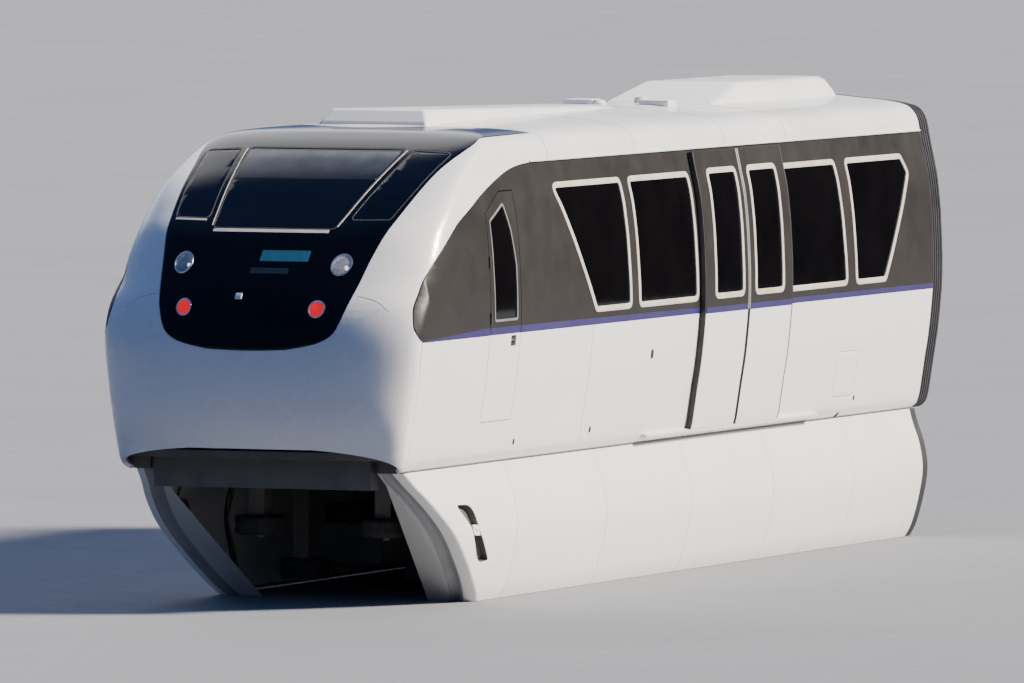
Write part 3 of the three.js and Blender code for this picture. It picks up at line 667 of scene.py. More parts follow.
@dataclass(frozen=True)
class Finish:
    """One procedural surface.

    Attributes:
        name: The material's name.
        colour: Its main colour, linear.
        second: The colour that it drifts to.
        roughness: Its mean roughness.
        metallic: 1 for bare metal.
        specular: The shader's specular level.
        coat: The weight of a clear coat.
        sheen: The weight of a cloth's sheen.
        transmission: 1 for clear glass.
        glow: How strongly it shines by itself.
        pattern: What gives it its fine relief.
        relief: The depth of that relief in metres.
        drift: The size in metres of the colour's patches.
        dust: How much dust lies on its lowest parts.
        dust_from: The height where the dust ends.
        dust_to: The height where it is thickest.
        dust_colour: The dust's colour.
    """

    name: str
    colour: Colour
    second: Colour
    roughness: float
    metallic: float = 0.0
    specular: float = 0.5
    coat: float = 0.0
    sheen: float = 0.0
    transmission: float = 0.0
    glow: float = 0.0
    pattern: Pattern = Pattern.PAINT
    relief: float = 0.0002
    drift: float = 0.6
    dust: float = 0.0
    dust_from: float = 0.6
    dust_to: float = -0.8
    dust_colour: Colour = (0.36, 0.32, 0.26)

    def relief_height(self, graph: Graph) -> Socket:
        """The fine relief of the finish's pattern.

        Args:
            graph: The material's nodes.

        Returns:
            The height of the relief, from 0 to 1.
        """
        if self.pattern is Pattern.BRUSHED:
            return graph.noise(90, 2, (0.03, 1, 1))
        if self.pattern is Pattern.MOULDED:
            return graph.noise(420, 4)
        if self.pattern is Pattern.RUBBER:
            return graph.noise(160, 6)
        if self.pattern is Pattern.WOVEN:
            waves = []
            for direction in ("X", "Z"):
                made = graph.node(
                    "ShaderNodeTexWave",
                    {"Vector": graph.coordinates, "Scale": 130.0, "Distortion": 1.2, "Detail": 1.0},
                    bands_direction=direction,
                )
                waves.append(made.outputs["Fac"])
            return graph.times(*waves)
        return graph.noise(55, 2)

    def material(self) -> bpy.types.Material:
        """Makes the material, or returns the one made before.

        Returns:
            The material.
        """
        known = bpy.data.materials.get(self.name)
        if known:
            return known
        made = bpy.data.materials.new(self.name)
        made.use_nodes = True
        graph = Graph(made.node_tree)
        share = graph.ramp(graph.noise(1 / self.drift, 5), 0.35, 0.68, 0.0, 1.0)
        colour = graph.mix(share, self.colour, self.second)
        if self.dust:
            height = graph.node("ShaderNodeSeparateXYZ", {"Vector": graph.coordinates}).outputs["Z"]
            low = graph.ramp(height, self.dust_from, self.dust_to, 0.0, self.dust)
            streaks = graph.ramp(graph.noise(6, 6, (1, 1, 0.25)), 0.3, 0.75, 0.35, 1.0)
            colour = graph.mix(graph.times(low, streaks), colour, self.dust_colour)
        spread = 0.35 * self.roughness
        wear = graph.noise(4.5, 6)
        rough = graph.ramp(wear, 0.3, 0.7, self.roughness - spread / 2, self.roughness + spread / 2)
        relief = {"Height": self.relief_height(graph), "Distance": self.relief, "Strength": 0.6}
        inputs = {
            "Base Color": colour,
            "Roughness": rough,
            "Normal": graph.node("ShaderNodeBump", relief).outputs["Normal"],
            "Metallic": self.metallic,
            "Specular IOR Level": self.specular,
            "Coat Weight": self.coat,
            "Coat Roughness": 0.06,
            "Sheen Weight": self.sheen,
            "Transmission Weight": self.transmission,
        }
        if self.glow:
            inputs |= {"Emission Color": (*self.colour, 1.0), "Emission Strength": self.glow}
        graph.fill(made.node_tree.nodes["Principled BSDF"], inputs)
        return made


BODY_PAINT = Finish(
    "warm white body paint", (0.83, 0.815, 0.79), (0.79, 0.775, 0.75), 0.26, coat=0.30, dust=0.12,
    dust_from=0.6, dust_to=0.1, relief=0.00012, drift=1.4,
)
NOSE_PAINT = replace(BODY_PAINT, name="white nose paint", drift=1.1, dust=0.10)
DOOR_PAINT = replace(BODY_PAINT, name="white door paint")
SKIRT_PAINT = replace(
    BODY_PAINT, name="white skirt paint", roughness=0.32, dust=0.25, dust_from=-0.1, dust_to=-1.1,
)
# The skirt's turned-in front is white paint; its grey here is painted shade on the forward face that the sun
# doesn't reach.
RETURN_PAINTED_SHADE = replace(
    SKIRT_PAINT, name="return paint with painted shade", colour=(0.50, 0.49, 0.47), second=(0.42, 0.41, 0.40),
)
ROOF_PAINT = replace(
    BODY_PAINT, name="white roof paint", roughness=0.36, dust=0.0, second=(0.70, 0.695, 0.68),
)
BAND_GLOSS = Finish(
    "black band gloss", (0.022, 0.0205, 0.0195), (0.028, 0.026, 0.0245), 0.42, specular=0.2,
    relief=0.0001, drift=0.9,
)
MASK_GLOSS = Finish(
    "black mask gloss", (0.0010, 0.0014, 0.0030), (0.0016, 0.0020, 0.0042), 0.08, specular=0.16,
    relief=0.00006,
)
SIDE_GLASS = Finish(
    "dark side glass", (0.0028, 0.0025, 0.0028), (0.0045, 0.0040, 0.0045), 0.06, specular=0.25,
    transmission=0.10, relief=0.00006, drift=0.4,
)
FRONT_GLASS = Finish(
    "dark front glass", (0.0012, 0.0018, 0.0045), (0.0020, 0.0028, 0.0060), 0.05, specular=0.14,
    transmission=0.02, relief=0.00005,
)
SUN_BAND = Finish(
    "printed sun band", (0.006, 0.007, 0.010), (0.008, 0.009, 0.013), 0.10, specular=0.2, dust=0.9,
    dust_from=2.40, dust_to=2.58, dust_colour=(0.080, 0.088, 0.110), relief=0.00008,
)
SEAL_CREAM = Finish(
    "pale window seal", (0.56, 0.52, 0.45), (0.46, 0.42, 0.36), 0.48, pattern=Pattern.RUBBER,
    relief=0.0004, drift=0.2,
)
SEAL_GREY = replace(
    SEAL_CREAM, name="grey rubber nosing", colour=(0.30, 0.29, 0.29), second=(0.24, 0.235, 0.24),
)
CREW_SEAL = replace(
    SEAL_CREAM, name="grey crew window seal", colour=(0.20, 0.19, 0.18), second=(0.15, 0.145, 0.14),
)
SEAL_BLACK = Finish(
    "black rubber seal", (0.014, 0.014, 0.018), (0.026, 0.025, 0.030), 0.55, pattern=Pattern.RUBBER,
    relief=0.0006, drift=0.15,
)
STRIPE_PAINT = Finish(
    "violet stripe paint", (0.030, 0.024, 0.100), (0.038, 0.030, 0.120), 0.32, specular=0.3, drift=0.5,
)
JOINT_DARK = Finish(
    "dark joint filler", (0.10, 0.098, 0.095), (0.16, 0.155, 0.15), 0.7, pattern=Pattern.RUBBER,
)
# A dark strip along the sill: painted shadow under the body's rolled-in foot, above the skirt.
SILL_PAINTED_SHADOW = replace(
    JOINT_DARK, name="sill lip with painted shadow", colour=(0.09, 0.088, 0.092), second=(0.13, 0.125, 0.125),
)
ROOF_JOINT = replace(
    JOINT_DARK, name="pale roof joint", colour=(0.55, 0.545, 0.53), second=(0.48, 0.475, 0.46),
)
FRAME_PAINT = Finish(
    "black frame paint", (0.035, 0.035, 0.037), (0.060, 0.056, 0.052), 0.55, dust=0.35, dust_from=0.4,
    dust_to=-0.6, relief=0.0005, drift=0.3,
)
# A darker grey for the concave groove behind the skirt's front corner: painted shade in the hollow.
GROOVE_PAINTED_SHADE = replace(
    FRAME_PAINT, name="groove paint with painted shade", colour=(0.26, 0.26, 0.265), second=(0.32, 0.32, 0.325), dust=0.0,
)
BOGIE_PAINT = replace(
    FRAME_PAINT, name="dark bogie paint", colour=(0.055, 0.057, 0.062), second=(0.090, 0.085, 0.078),
)
EQUIPMENT_PAINT = replace(
    FRAME_PAINT, name="grey equipment paint", colour=(0.23, 0.24, 0.25), second=(0.17, 0.175, 0.18),
    roughness=0.42,
)
BULKHEAD_PAINT = replace(EQUIPMENT_PAINT, name="grey bulkhead paint", colour=(0.21, 0.22, 0.23), dust=0.0)
LINING = Finish(
    "light grey lining", (0.50, 0.49, 0.46), (0.44, 0.43, 0.41), 0.5, pattern=Pattern.MOULDED,
    relief=0.0002,
)
DESK_PLASTIC = replace(
    LINING, name="dark desk plastic", colour=(0.035, 0.036, 0.040), second=(0.055, 0.055, 0.060),
)
SEAT_CLOTH = Finish(
    "blue seat cloth", (0.030, 0.075, 0.190), (0.050, 0.110, 0.250), 0.85, sheen=0.35,
    pattern=Pattern.WOVEN, relief=0.0012, drift=0.05,
)
RAIL_STEEL = Finish(
    "brushed rail steel", (0.62, 0.62, 0.63), (0.52, 0.52, 0.53), 0.28, metallic=1.0,
    pattern=Pattern.BRUSHED,
)
AXLE_STEEL = replace(RAIL_STEEL, name="machined axle steel", colour=(0.34, 0.34, 0.35), roughness=0.4)
TYRE_RUBBER = Finish(
    "black tyre rubber", (0.018, 0.018, 0.018), (0.045, 0.043, 0.040), 0.8, pattern=Pattern.RUBBER,
    relief=0.0015, drift=0.12, specular=0.35,
)
LENS = Finish(
    "clear lamp lens", (0.92, 0.93, 0.95), (0.86, 0.88, 0.92), 0.06, transmission=0.8, relief=0.0002,
)
REFLECTOR = Finish(
    "dull lamp reflector", (0.34, 0.35, 0.37), (0.26, 0.27, 0.29), 0.35, metallic=1.0, drift=0.05,
    relief=0.0002,
)
WHITE_BULB = Finish("white lamp bulb", (1.0, 0.97, 0.92), (0.95, 0.93, 0.90), 0.3, glow=2.0, drift=0.05)
RED_LENS = Finish(
    "red lamp lens", (0.80, 0.006, 0.014), (0.90, 0.010, 0.018), 0.12, specular=0.3, glow=0.9, drift=0.03,
)
SIGN_FACE = Finish(
    "blank sign face", (0.018, 0.075, 0.120), (0.028, 0.105, 0.160), 0.2, glow=0.30, drift=0.08,
)
SIGN_DIM = replace(
    SIGN_FACE, name="dim sign face", colour=(0.010, 0.016, 0.022), second=(0.015, 0.022, 0.030), glow=0.15,
)
PALE_FLOOR = Finish(
    "pale floor", (0.27, 0.28, 0.295), (0.25, 0.26, 0.275), 0.85, specular=0.1, drift=3.0,
)
FLAG_CLOTH = Finish(
    "dark flag", (0.010, 0.014, 0.026), (0.014, 0.018, 0.032), 0.9, specular=0.0, drift=4.0,
)


# Meshes


@dataclass
class Piece:
    """A finished piece and how it belongs to the car.

    Attributes:
        name: The object's name.
        body: The body it moves with.
        slot: The material slot of the record that it stands for.
        finish: Its surface.
        replaced: The nodes that it stands for.
    """

    name: str
    body: str
    slot: str
    finish: Finish
    replaced: tuple[str, ...] = ()

    def add(self, bm: Mesh, sharp: float = 35.0, weighted: bool = False) -> bpy.types.Object:
        """Turns a bmesh into the piece's object.

        Args:
            bm: The piece's mesh, in place. It is freed.
            sharp: Edges that bend by more than this many degrees stay sharp.
            weighted: Whether large faces give their normals to the small faces round them.

        Returns:
            The new object, which rides on its body.
        """
        bmesh.ops.recalc_face_normals(bm, faces=bm.faces)
        limit = math.radians(sharp)
        for edge in bm.edges:
            edge.smooth = len(edge.link_faces) == 2 and edge.calc_face_angle(0.0) < limit
        for face in bm.faces:
            face.smooth = True
        mesh = bpy.data.meshes.new(self.name)
        bm.to_mesh(mesh)
        bm.free()
        made = bpy.data.objects.new(self.name, mesh)
        bpy.context.scene.collection.objects.link(made)
        mesh.materials.append(self.finish.material())
        if weighted:
            modifier = made.modifiers.new("weighted normals", "WEIGHTED_NORMAL")
            modifier.keep_sharp = True
        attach(made, self.body)
        if self.replaced:
            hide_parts(*self.replaced)
        LOG.info("%s on %s: %d faces", self.name, self.body, len(mesh.polygons))
        return made


def fixed(name: str, slot: str, finish: Finish, *nodes: str) -> Piece:
    """A piece that rides on the car's body and stands for some of its nodes."""
    return Piece(name, "car_body", slot, finish, nodes)


@dataclass
class Plate:
    """A flat plate with holes, which is then bent onto a surface.

    Attributes:
        outlines: The closed outlines of its parts.
        holes: The closed outlines of its holes.
        outer: How far its face stands outside the surface.
        inner: How far its back stands outside the surface, below 0 for inside.
        edge: The size of the rounding along its outer edges, or 0.
    """

    outlines: Sequence[Sequence[Point2]]
    holes: Sequence[Sequence[Point2]] = ()
    outer: float = 0.0
    inner: float = -WALL
    edge: float = 0.0

    def flat(self) -> Mesh:
        """The plate before it is bent, with its distance outside the surface as Z.

        Returns:
            The flat plate.
        """
        bm = bmesh.new()
        for outline in (*self.outlines, *self.holes):
            corners = [bm.verts.new((u, v, self.inner)) for u, v in outline]
            for a, b in zip(corners, corners[1:] + corners[:1]):
                bm.edges.new((a, b))
        bmesh.ops.triangle_fill(bm, edges=bm.edges[:], use_beauty=True, normal=(0, 0, 1))
        extruded = bmesh.ops.extrude_face_region(bm, geom=bm.faces[:])["geom"]
        moved = [item for item in extruded if isinstance(item, bmesh.types.BMVert)]
        rise = Vector((0, 0, self.outer - self.inner - self.edge))
        bmesh.ops.translate(bm, verts=moved, vec=rise)
        bmesh.ops.recalc_face_normals(bm, faces=bm.faces)
        if self.edge:
            for thickness, depth in ((0.3, 0.7), (0.7, 0.3)):
                top = max(vertex.co.z for vertex in bm.verts)
                upward = [face for face in bm.faces if face.normal.z > 0.9]
                faces = [face for face in upward if face.verts[0].co.z > top - 1e-6]
                bmesh.ops.inset_region(
                    bm, faces=faces, thickness=thickness * self.edge, depth=depth * self.edge,
                    use_boundary=True, use_even_offset=True,
                )
        return bm

    def bent(self, place: Place, columns: Iterable[float] = (), rows: Iterable[float] = ()) -> Mesh:
        """The plate bent onto a surface.

        Args:
            place: Gives the point of a flat place and its distance outside the surface.
            columns: Where the plate is ruled across its first coordinate.
            rows: Where it is ruled across its second coordinate.

        Returns:
            The bent plate.
        """
        bm = self.flat()
        for axis, values in ((0, columns), (1, rows)):
            spans = [vertex.co[axis] for vertex in bm.verts]
            low, high = min(spans), max(spans)
            for value in values:
                if low + 1e-4 < value < high - 1e-4:
                    normal = Vector((0, 0, 0))
                    normal[axis] = 1
                    geometry = [*bm.verts, *bm.edges, *bm.faces]
                    bmesh.ops.bisect_plane(
                        bm, geom=geometry, dist=1e-6, plane_co=value * normal, plane_no=normal,
                    )
        for vertex in bm.verts:
            vertex.co = place(*vertex.co)
        bmesh.ops.remove_doubles(bm, verts=bm.verts, dist=1e-5)
        return bm


def steps(start: float, end: float, pitch: float) -> list[float]:
    """Evenly spaced values from start to end, both included."""
    count = max(1, round(abs(end - start) / pitch))
    return [start + (end - start) * k / count for k in range(count + 1)]


def merged(parts: Iterable[Mesh]) -> Mesh:
    """Puts several meshes into one and frees them.

    Args:
        parts: The meshes.

    Returns:
        The whole.
    """
    whole = bmesh.new()
    for part in parts:
        mesh = bpy.data.meshes.new("part")
        part.to_mesh(mesh)
        part.free()
        whole.from_mesh(mesh)
        bpy.data.meshes.remove(mesh)
    return whole


def bevelled(bm: Mesh, edge: float, segments: int) -> Mesh:
    """Rounds every edge of a mesh.

    Args:
        bm: The mesh.
        edge: The size of the rounding.
        segments: How many faces round an edge.

    Returns:
        The same mesh.
    """
    bmesh.ops.bevel(
        bm, geom=bm.edges[:], offset=edge, offset_type="OFFSET", affect="EDGES", segments=segments,
        profile=0.5, material=-1, clamp_overlap=True,
    )
    return bm


def block(low: Sequence[float], high: Sequence[float], edge: float, segments: int = 2) -> Mesh:
    """A box with rounded edges.

    Args:
        low: Its lowest corner.
        high: Its highest corner.
        edge: The size of its rounding.
        segments: How many faces round an edge.

    Returns:
        The box.
    """
    bm = bmesh.new()
    bmesh.ops.create_cube(bm, size=1)
    low, high = Vector(map(min, low, high)), Vector(map(max, low, high))
    bmesh.ops.scale(bm, verts=bm.verts, vec=high - low)
    bmesh.ops.translate(bm, verts=bm.verts, vec=(low + high) / 2)
    return bevelled(bm, edge, segments)


def cushion(low: Sequence[float], high: Sequence[float], free: Vector, crown: float, seed: int) -> Mesh:
    """A padded block with soft edges, whose free face is crowned and a little uneven.

    Args:
        low: Its lowest corner.
        high: Its highest corner.
        free: The direction of the face that is sat on or leant against.
        crown: How far that face stands out in the middle.
        seed: Chooses the unevenness.

    Returns:
        The cushion.
    """
    low, high = Vector(map(min, low, high)), Vector(map(max, low, high))
    centre, half = (low + high) / 2, (high - low) / 2
    bm = block(low, high, 0.30 * min(high - low), 4)
    long_edges = [edge for edge in bm.edges if edge.calc_length() > 0.09]
    bmesh.ops.subdivide_edges(bm, edges=long_edges, cuts=9, use_grid_fill=True)
    chance = random.Random(seed)
    spans = ((-0.6, 0.6), (-0.6, 0.6), (-0.25, 0.20))
    dents = [tuple(chance.uniform(*span) for span in spans) for _ in range(4)]
    across = [axis for axis in range(3) if abs(free[axis]) < 0.5]
    for vertex in bm.verts:
        place = [(vertex.co[axis] - centre[axis]) / half[axis] for axis in range(3)]
        u, v = (place[axis] for axis in across)
        share = max(sum(place[axis] * free[axis] for axis in range(3)), 0.0)
        swell = (1 - u**4) * (1 - v**4)
        uneven = sum(depth * math.exp(-5 * ((u - du) ** 2 + (v - dv) ** 2)) for du, dv, depth in dents)
        vertex.co += free * (crown * share * max(swell, 0.0) * (1 + uneven))
        pinch = 0.006 * (1 - abs(share)) * max(1 - max(abs(u), abs(v)) ** 6, 0.0)
        vertex.co -= free * pinch
    return bm


def turned(
    profile: Sequence[Point2], axis: Vector, centre: Vector, segments: int, closed: bool = True,
) -> Mesh:
    """A profile spun round an axis.

    Args:
        profile: Radius and distance along the axis.
        axis: The axis's direction.
        centre: The point of the axis where that distance is 0.
        segments: How many faces go round.
        closed: Whether the profile closes on itself, or else starts and ends on the axis.

    Returns:
        The turned solid.
    """
    bm = bmesh.new()
    corners = [bm.verts.new((radius, 0, along)) for radius, along in profile]
    following = corners[1:] + corners[:1] if closed else corners[1:]
    edges = [bm.edges.new(pair) for pair in zip(corners, following)]
    bmesh.ops.spin(
        bm, geom=[*corners, *edges], cent=(0, 0, 0), axis=(0, 0, 1), angle=2 * math.pi, steps=segments,
        use_merge=True,
    )
    bmesh.ops.remove_doubles(bm, verts=bm.verts, dist=1e-6)
    turn = Vector((0, 0, 1)).rotation_difference(axis).to_matrix().to_4x4()
    bmesh.ops.transform(bm, matrix=Matrix.Translation(centre) @ turn, verts=bm.verts)
    return bm


def rod(start: Vector, end: Vector, radius: float, segments: int = 16) -> Mesh:
    """A round bar with slightly rounded ends.

    Args:
        start: The middle of one end.
        end: The middle of the other end.
        radius: Its radius.
        segments: How many faces go round.

    Returns:
        The bar.
    """
    length = (end - start).length
    edge = min(radius * 0.2, length * 0.2)
    profile = [
        (0.0, 0.0), (radius - edge, 0.0), (radius, edge), (radius, length - edge), (radius - edge, length),
        (0.0, length),
    ]
    return turned(profile, end - start, start, segments, closed=False)


# Sides


# How far apart the heights lie where a side plate is ruled.
ROW_PITCH = 0.05
# The front edge of the window band, as stations and heights.
BAND_FRONT = (
    (0.385, 1.2002), (0.335, 1.222), (0.305, 1.270), (0.300, 1.330), (0.350, 1.461), (0.470, 1.584),
    (0.620, 1.730), (0.776, 1.863), (1.085, 2.054), (1.432, 2.187), (1.695, 2.283), (2.050, 2.390),
    (2.289, 2.447), (2.520, 2.478), (2.750, 2.490),
)


def band_front(gap: float) -> Outline:
    """The front edge of the window band.

    Args:
        gap: How far it is moved ahead.

    Returns:
        The points of the edge, from its lower corner up.
    """
    curve = smooth_through(BAND_FRONT, 4)
    result: Outline = []
    for i, (station, height) in enumerate(curve):
        before, after = Vector(curve[max(i - 1, 0)]), Vector(curve[min(i + 1, len(curve) - 1)])
        along = (after - before).normalized()
        result.append((station - gap * along.y, height + gap * along.x))
    return result


# Outlines on the side, as stations and heights.
CREW_DOOR = [(1.680, 0.530), (2.275, 0.530), (2.275, 2.290), (2.010, 2.290), (1.680, 2.130)]
CREW_WINDOW = [
    (1.755, 1.300), (2.205, 1.300), (2.205, 1.720), (2.135, 2.000), (2.035, 2.205), (1.730, 2.075),
]
WINDOWS = {
    End.FRONT: (
        [(3.035, 2.320), (4.450, 2.320), (4.510, 1.300), (3.780, 1.300)],
        [(4.600, 2.320), (5.860, 2.320), (5.890, 1.300), (4.660, 1.300)],
    ),
    End.REAR: (
        [(7.850, 2.320), (9.000, 2.320), (9.110, 1.300), (7.850, 1.300)],
        [(9.220, 2.320), (10.480, 2.320), (10.590, 2.170), (9.950, 1.300), (9.290, 1.300)],
    ),
}
WINDOW_RADIUS = 0.070
# The stations of the doorway, its sill and its top.
DOORWAY = (5.985, 7.745, 0.360, 2.400)
# How far a pane's seal reaches outside the pane's opening, and inside it.
SEAL_OUT = 0.007
SEAL_IN = 0.038
# The top of the stripe along the foot of the band, behind the crew door and ahead of it.
STRIPE_TOP = 1.243
STRIPE_NOSE_TOP = 1.256


@dataclass
class SideSkin:
    """The painted panels of one side, from the sill to the roof.

    Attributes:
        side: The side that carries them.
        foot: The height of the lower edge.
        rear: The station of the rear edge.
        front: The station of the front edge, where the nose ends.
        joint: The station of the seam between the two white panels.
        gap: Half the width of the seams.
        hatch: An access hatch in the white panel: two stations and two heights.
        edge: The rounding of the panels' edges.
    """

    side: Side
    foot: float = 0.200
    rear: float = 11.026
    front: float = 0.366
    joint: float = 3.740
    gap: float = 0.003
    hatch: tuple[float, float, float, float] = (9.040, 9.500, 0.385, 0.750)
    edge: float = 0.003

    # The plugs in the white panels, as stations, heights and half widths.
    PLUGS = (
        (5.00, 0.915, 0.024), (3.92, 0.37, 0.016), (2.40, 0.35, 0.015), (9.53, 0.36, 0.014),
        (9.28, 0.23, 0.014),
    )
    # The stations of the leaf rail's ends, and its section as distances outside the skin and heights.
    RAIL_ENDS = (5.040, 8.690)
    RAIL = (
        (-0.004, 0.2606), (0.040, 0.2606), (0.044, 0.2640), (0.044, 0.2808), (0.040, 0.2842),
        (-0.004, 0.2842),
    )

    def piece(self, name: str, slot: str, finish: Finish, *replaced: str) -> Piece:
        """A piece of this side that rides on the car's body."""
        label = self.side.label
        return fixed(f"{name}_{label}", slot, finish, *(f"{node}_{label}" for node in replaced))

    def bend(self, plate: Plate, low: float, high: float) -> Mesh:
        """Bends a plate onto this side, ruled between two heights."""
        return plate.bent(HULL.side_place(self.side), (), steps(low, high, ROW_PITCH))

    def white_panels(self) -> None:
        """The two white panels, with notches for the doors."""
        top = BAND_BOTTOM - self.gap
        crew_front, crew_rear = CREW_DOOR[0][0] - 2 * self.gap, CREW_DOOR[1][0] + 2 * self.gap
        crew_foot = CREW_DOOR[0][1] - 2 * self.gap
        seam_front, seam_rear = self.joint - self.gap, self.joint + self.gap
        front = [
            (self.front, self.foot), (seam_front, self.foot), (seam_front, top), (crew_rear, top),
            (crew_rear, crew_foot), (crew_front, crew_foot), (crew_front, top), (self.front, top),
        ]
        door_front, door_rear, sill, _ = DOORWAY
        back = [
            (seam_rear, self.foot), (self.rear, self.foot), (self.rear, top), (door_rear, top),
            (door_rear, sill), (door_front, sill), (door_front, top), (seam_rear, top),
        ]
        hatch = rounded(rectangle(*self.hatch), 0.02)
        plate = Plate([front, back], [grown(hatch, 0.004)], 0.0, -0.030, self.edge)
        piece = self.piece("side_panels", "body_white", BODY_PAINT, "side_panel")
        piece.add(self.bend(plate, self.foot, top), weighted=True)
        flap = Plate([hatch], (), 0.0, -0.020, self.edge)
        self.piece("side_hatch", "body_white", BODY_PAINT, "side_panel").add(self.bend(flap, *self.hatch[2:]))

    def joints(self) -> None:
        """Dark strips behind the seams, a dark lip along the sill whose colour is painted shadow, and the
        plugs in the white panels.
        """
        strips = [
            rectangle(self.joint - 0.02, self.joint + 0.02, 0.25, 1.15),
            rectangle(0.345, 0.385, 0.22, 1.15),
            grown(rectangle(*self.hatch), 0.02),
        ]
        plate = Plate(strips, (), -0.016, -0.026)
        self.piece("seam_backing", "seal_rubber", JOINT_DARK, "side_panel").add(self.bend(plate, 0.2, 1.2))
        # The lip's dark grey is painted shadow where the body's foot rolls under above the skirt.
        lip = Plate([rectangle(0.372, self.rear - 0.01, 0.2006, 0.2130)], (), 0.003, -0.004)
        self.piece("sill_lip", "seal_rubber", SILL_PAINTED_SHADOW, "side_panel").add(self.bend(lip, 0.2, 0.22))
        boxes = ((r, rectangle(s - r, s + r, z - 1.5 * r, z + 1.5 * r)) for s, z, r in self.PLUGS)
        plugs = Plate([rounded(box, 0.9 * r) for r, box in boxes], (), 0.0035, -0.01)
        self.piece("jacking_plugs", "seal_rubber", SEAL_BLACK, "side_panel").add(self.bend(plugs, 0.2, 1.0))

    def band(self) -> None:
        """The black window band, with holes for the windows and notches for the doors."""
        low, high = BAND_BOTTOM + self.gap, BAND_TOP - self.gap
        crew = grown(CREW_DOOR, 2 * self.gap)
        crew_arch = [(crew[0][0], low), crew[4], crew[3], crew[2], (crew[1][0], low)]
        door_front, door_rear, _, door_top = DOORWAY
        doorway = [(door_front, low), (door_front, door_top), (door_rear, door_top), (door_rear, low)]
        edge = [(station, min(max(z, low), high)) for station, z in band_front(-0.0005)]
        outline = [*crew_arch, *doorway, (self.rear, low), (self.rear, high), *reversed(edge)]
        windows = (*WINDOWS[End.FRONT], *WINDOWS[End.REAR])
        holes = [rounded(window, WINDOW_RADIUS) for window in windows]
        plate = Plate([outline], holes, 0.001, -0.034, self.edge)
        piece = self.piece("window_band_skin", "band_black", BAND_GLOSS, "window_band")
        piece.add(self.bend(plate, low, high), weighted=True)

    def glazing(self) -> None:
        """The side panes with their pale seals."""
        for end, windows in WINDOWS.items():
            outlines = [rounded(window, WINDOW_RADIUS) for window in windows]
            panes = Plate([grown(outline, -0.002) for outline in outlines], (), -0.004, -0.012)
            glass = self.piece(f"side_panes_{end.value}", "side_glass", SIDE_GLASS, f"glazing_{end.value}")
            glass.add(self.bend(panes, 1.3, 2.32))
            frames = Plate(
                [grown(outline, SEAL_OUT) for outline in outlines],
                [grown(outline, -SEAL_IN) for outline in outlines],
                0.004, -0.004, 0.002,
            )
            seal = self.piece(f"pane_seals_{end.value}", "seal_rubber", SEAL_CREAM, f"glazing_{end.value}")
            seal.add(self.bend(frames, 1.29, 2.33))

    def stripe(self) -> None:
        """The violet stripe along the foot of the band, thicker towards the nose."""
        low = BAND_BOTTOM + 0.001
        crew_front, crew_rear = CREW_DOOR[0][0] - 2 * self.gap, CREW_DOOR[1][0] + 2 * self.gap
        corner = [(station, z) for station, z in band_front(-0.004) if low < z < STRIPE_NOSE_TOP]
        door_front, door_rear = DOORWAY[:2]
        high = STRIPE_NOSE_TOP - 0.002
        parts = [
            [(0.390, low), (crew_front, low), (crew_front, STRIPE_NOSE_TOP), *reversed(corner)],
            [(crew_rear, low), (door_front, low), (door_front, STRIPE_TOP), (crew_rear, high)],
            rectangle(door_rear, self.rear, low, STRIPE_TOP),
        ]
        plate = Plate(parts, (), 0.0025, -0.002)
        stripe = self.piece("band_stripe", "body_white", STRIPE_PAINT, "window_band")
        stripe.add(self.bend(plate, 1.2, 1.26))

    def rail(self) -> None:
        """The rail that the sliding leaves run on."""
        place = HULL.side_place(self.side)
        bm = bmesh.new()
        loops = []
        for station in self.RAIL_ENDS:
            corners = [bm.verts.new(place(station, z, out)) for out, z in self.RAIL]
            loops.append([bm.edges.new(pair) for pair in zip(corners, corners[1:] + corners[:1])])
            bm.faces.new(corners)
        bmesh.ops.bridge_loops(bm, edges=loops[0] + loops[1])
        self.piece("leaf_rail", "body_white", BODY_PAINT, "side_panel").add(bm)

    def build(self) -> None:
        """Builds every piece of the side."""
        self.white_panels()
        self.joints()
        self.band()
        self.glazing()
        self.stripe()
        self.rail()


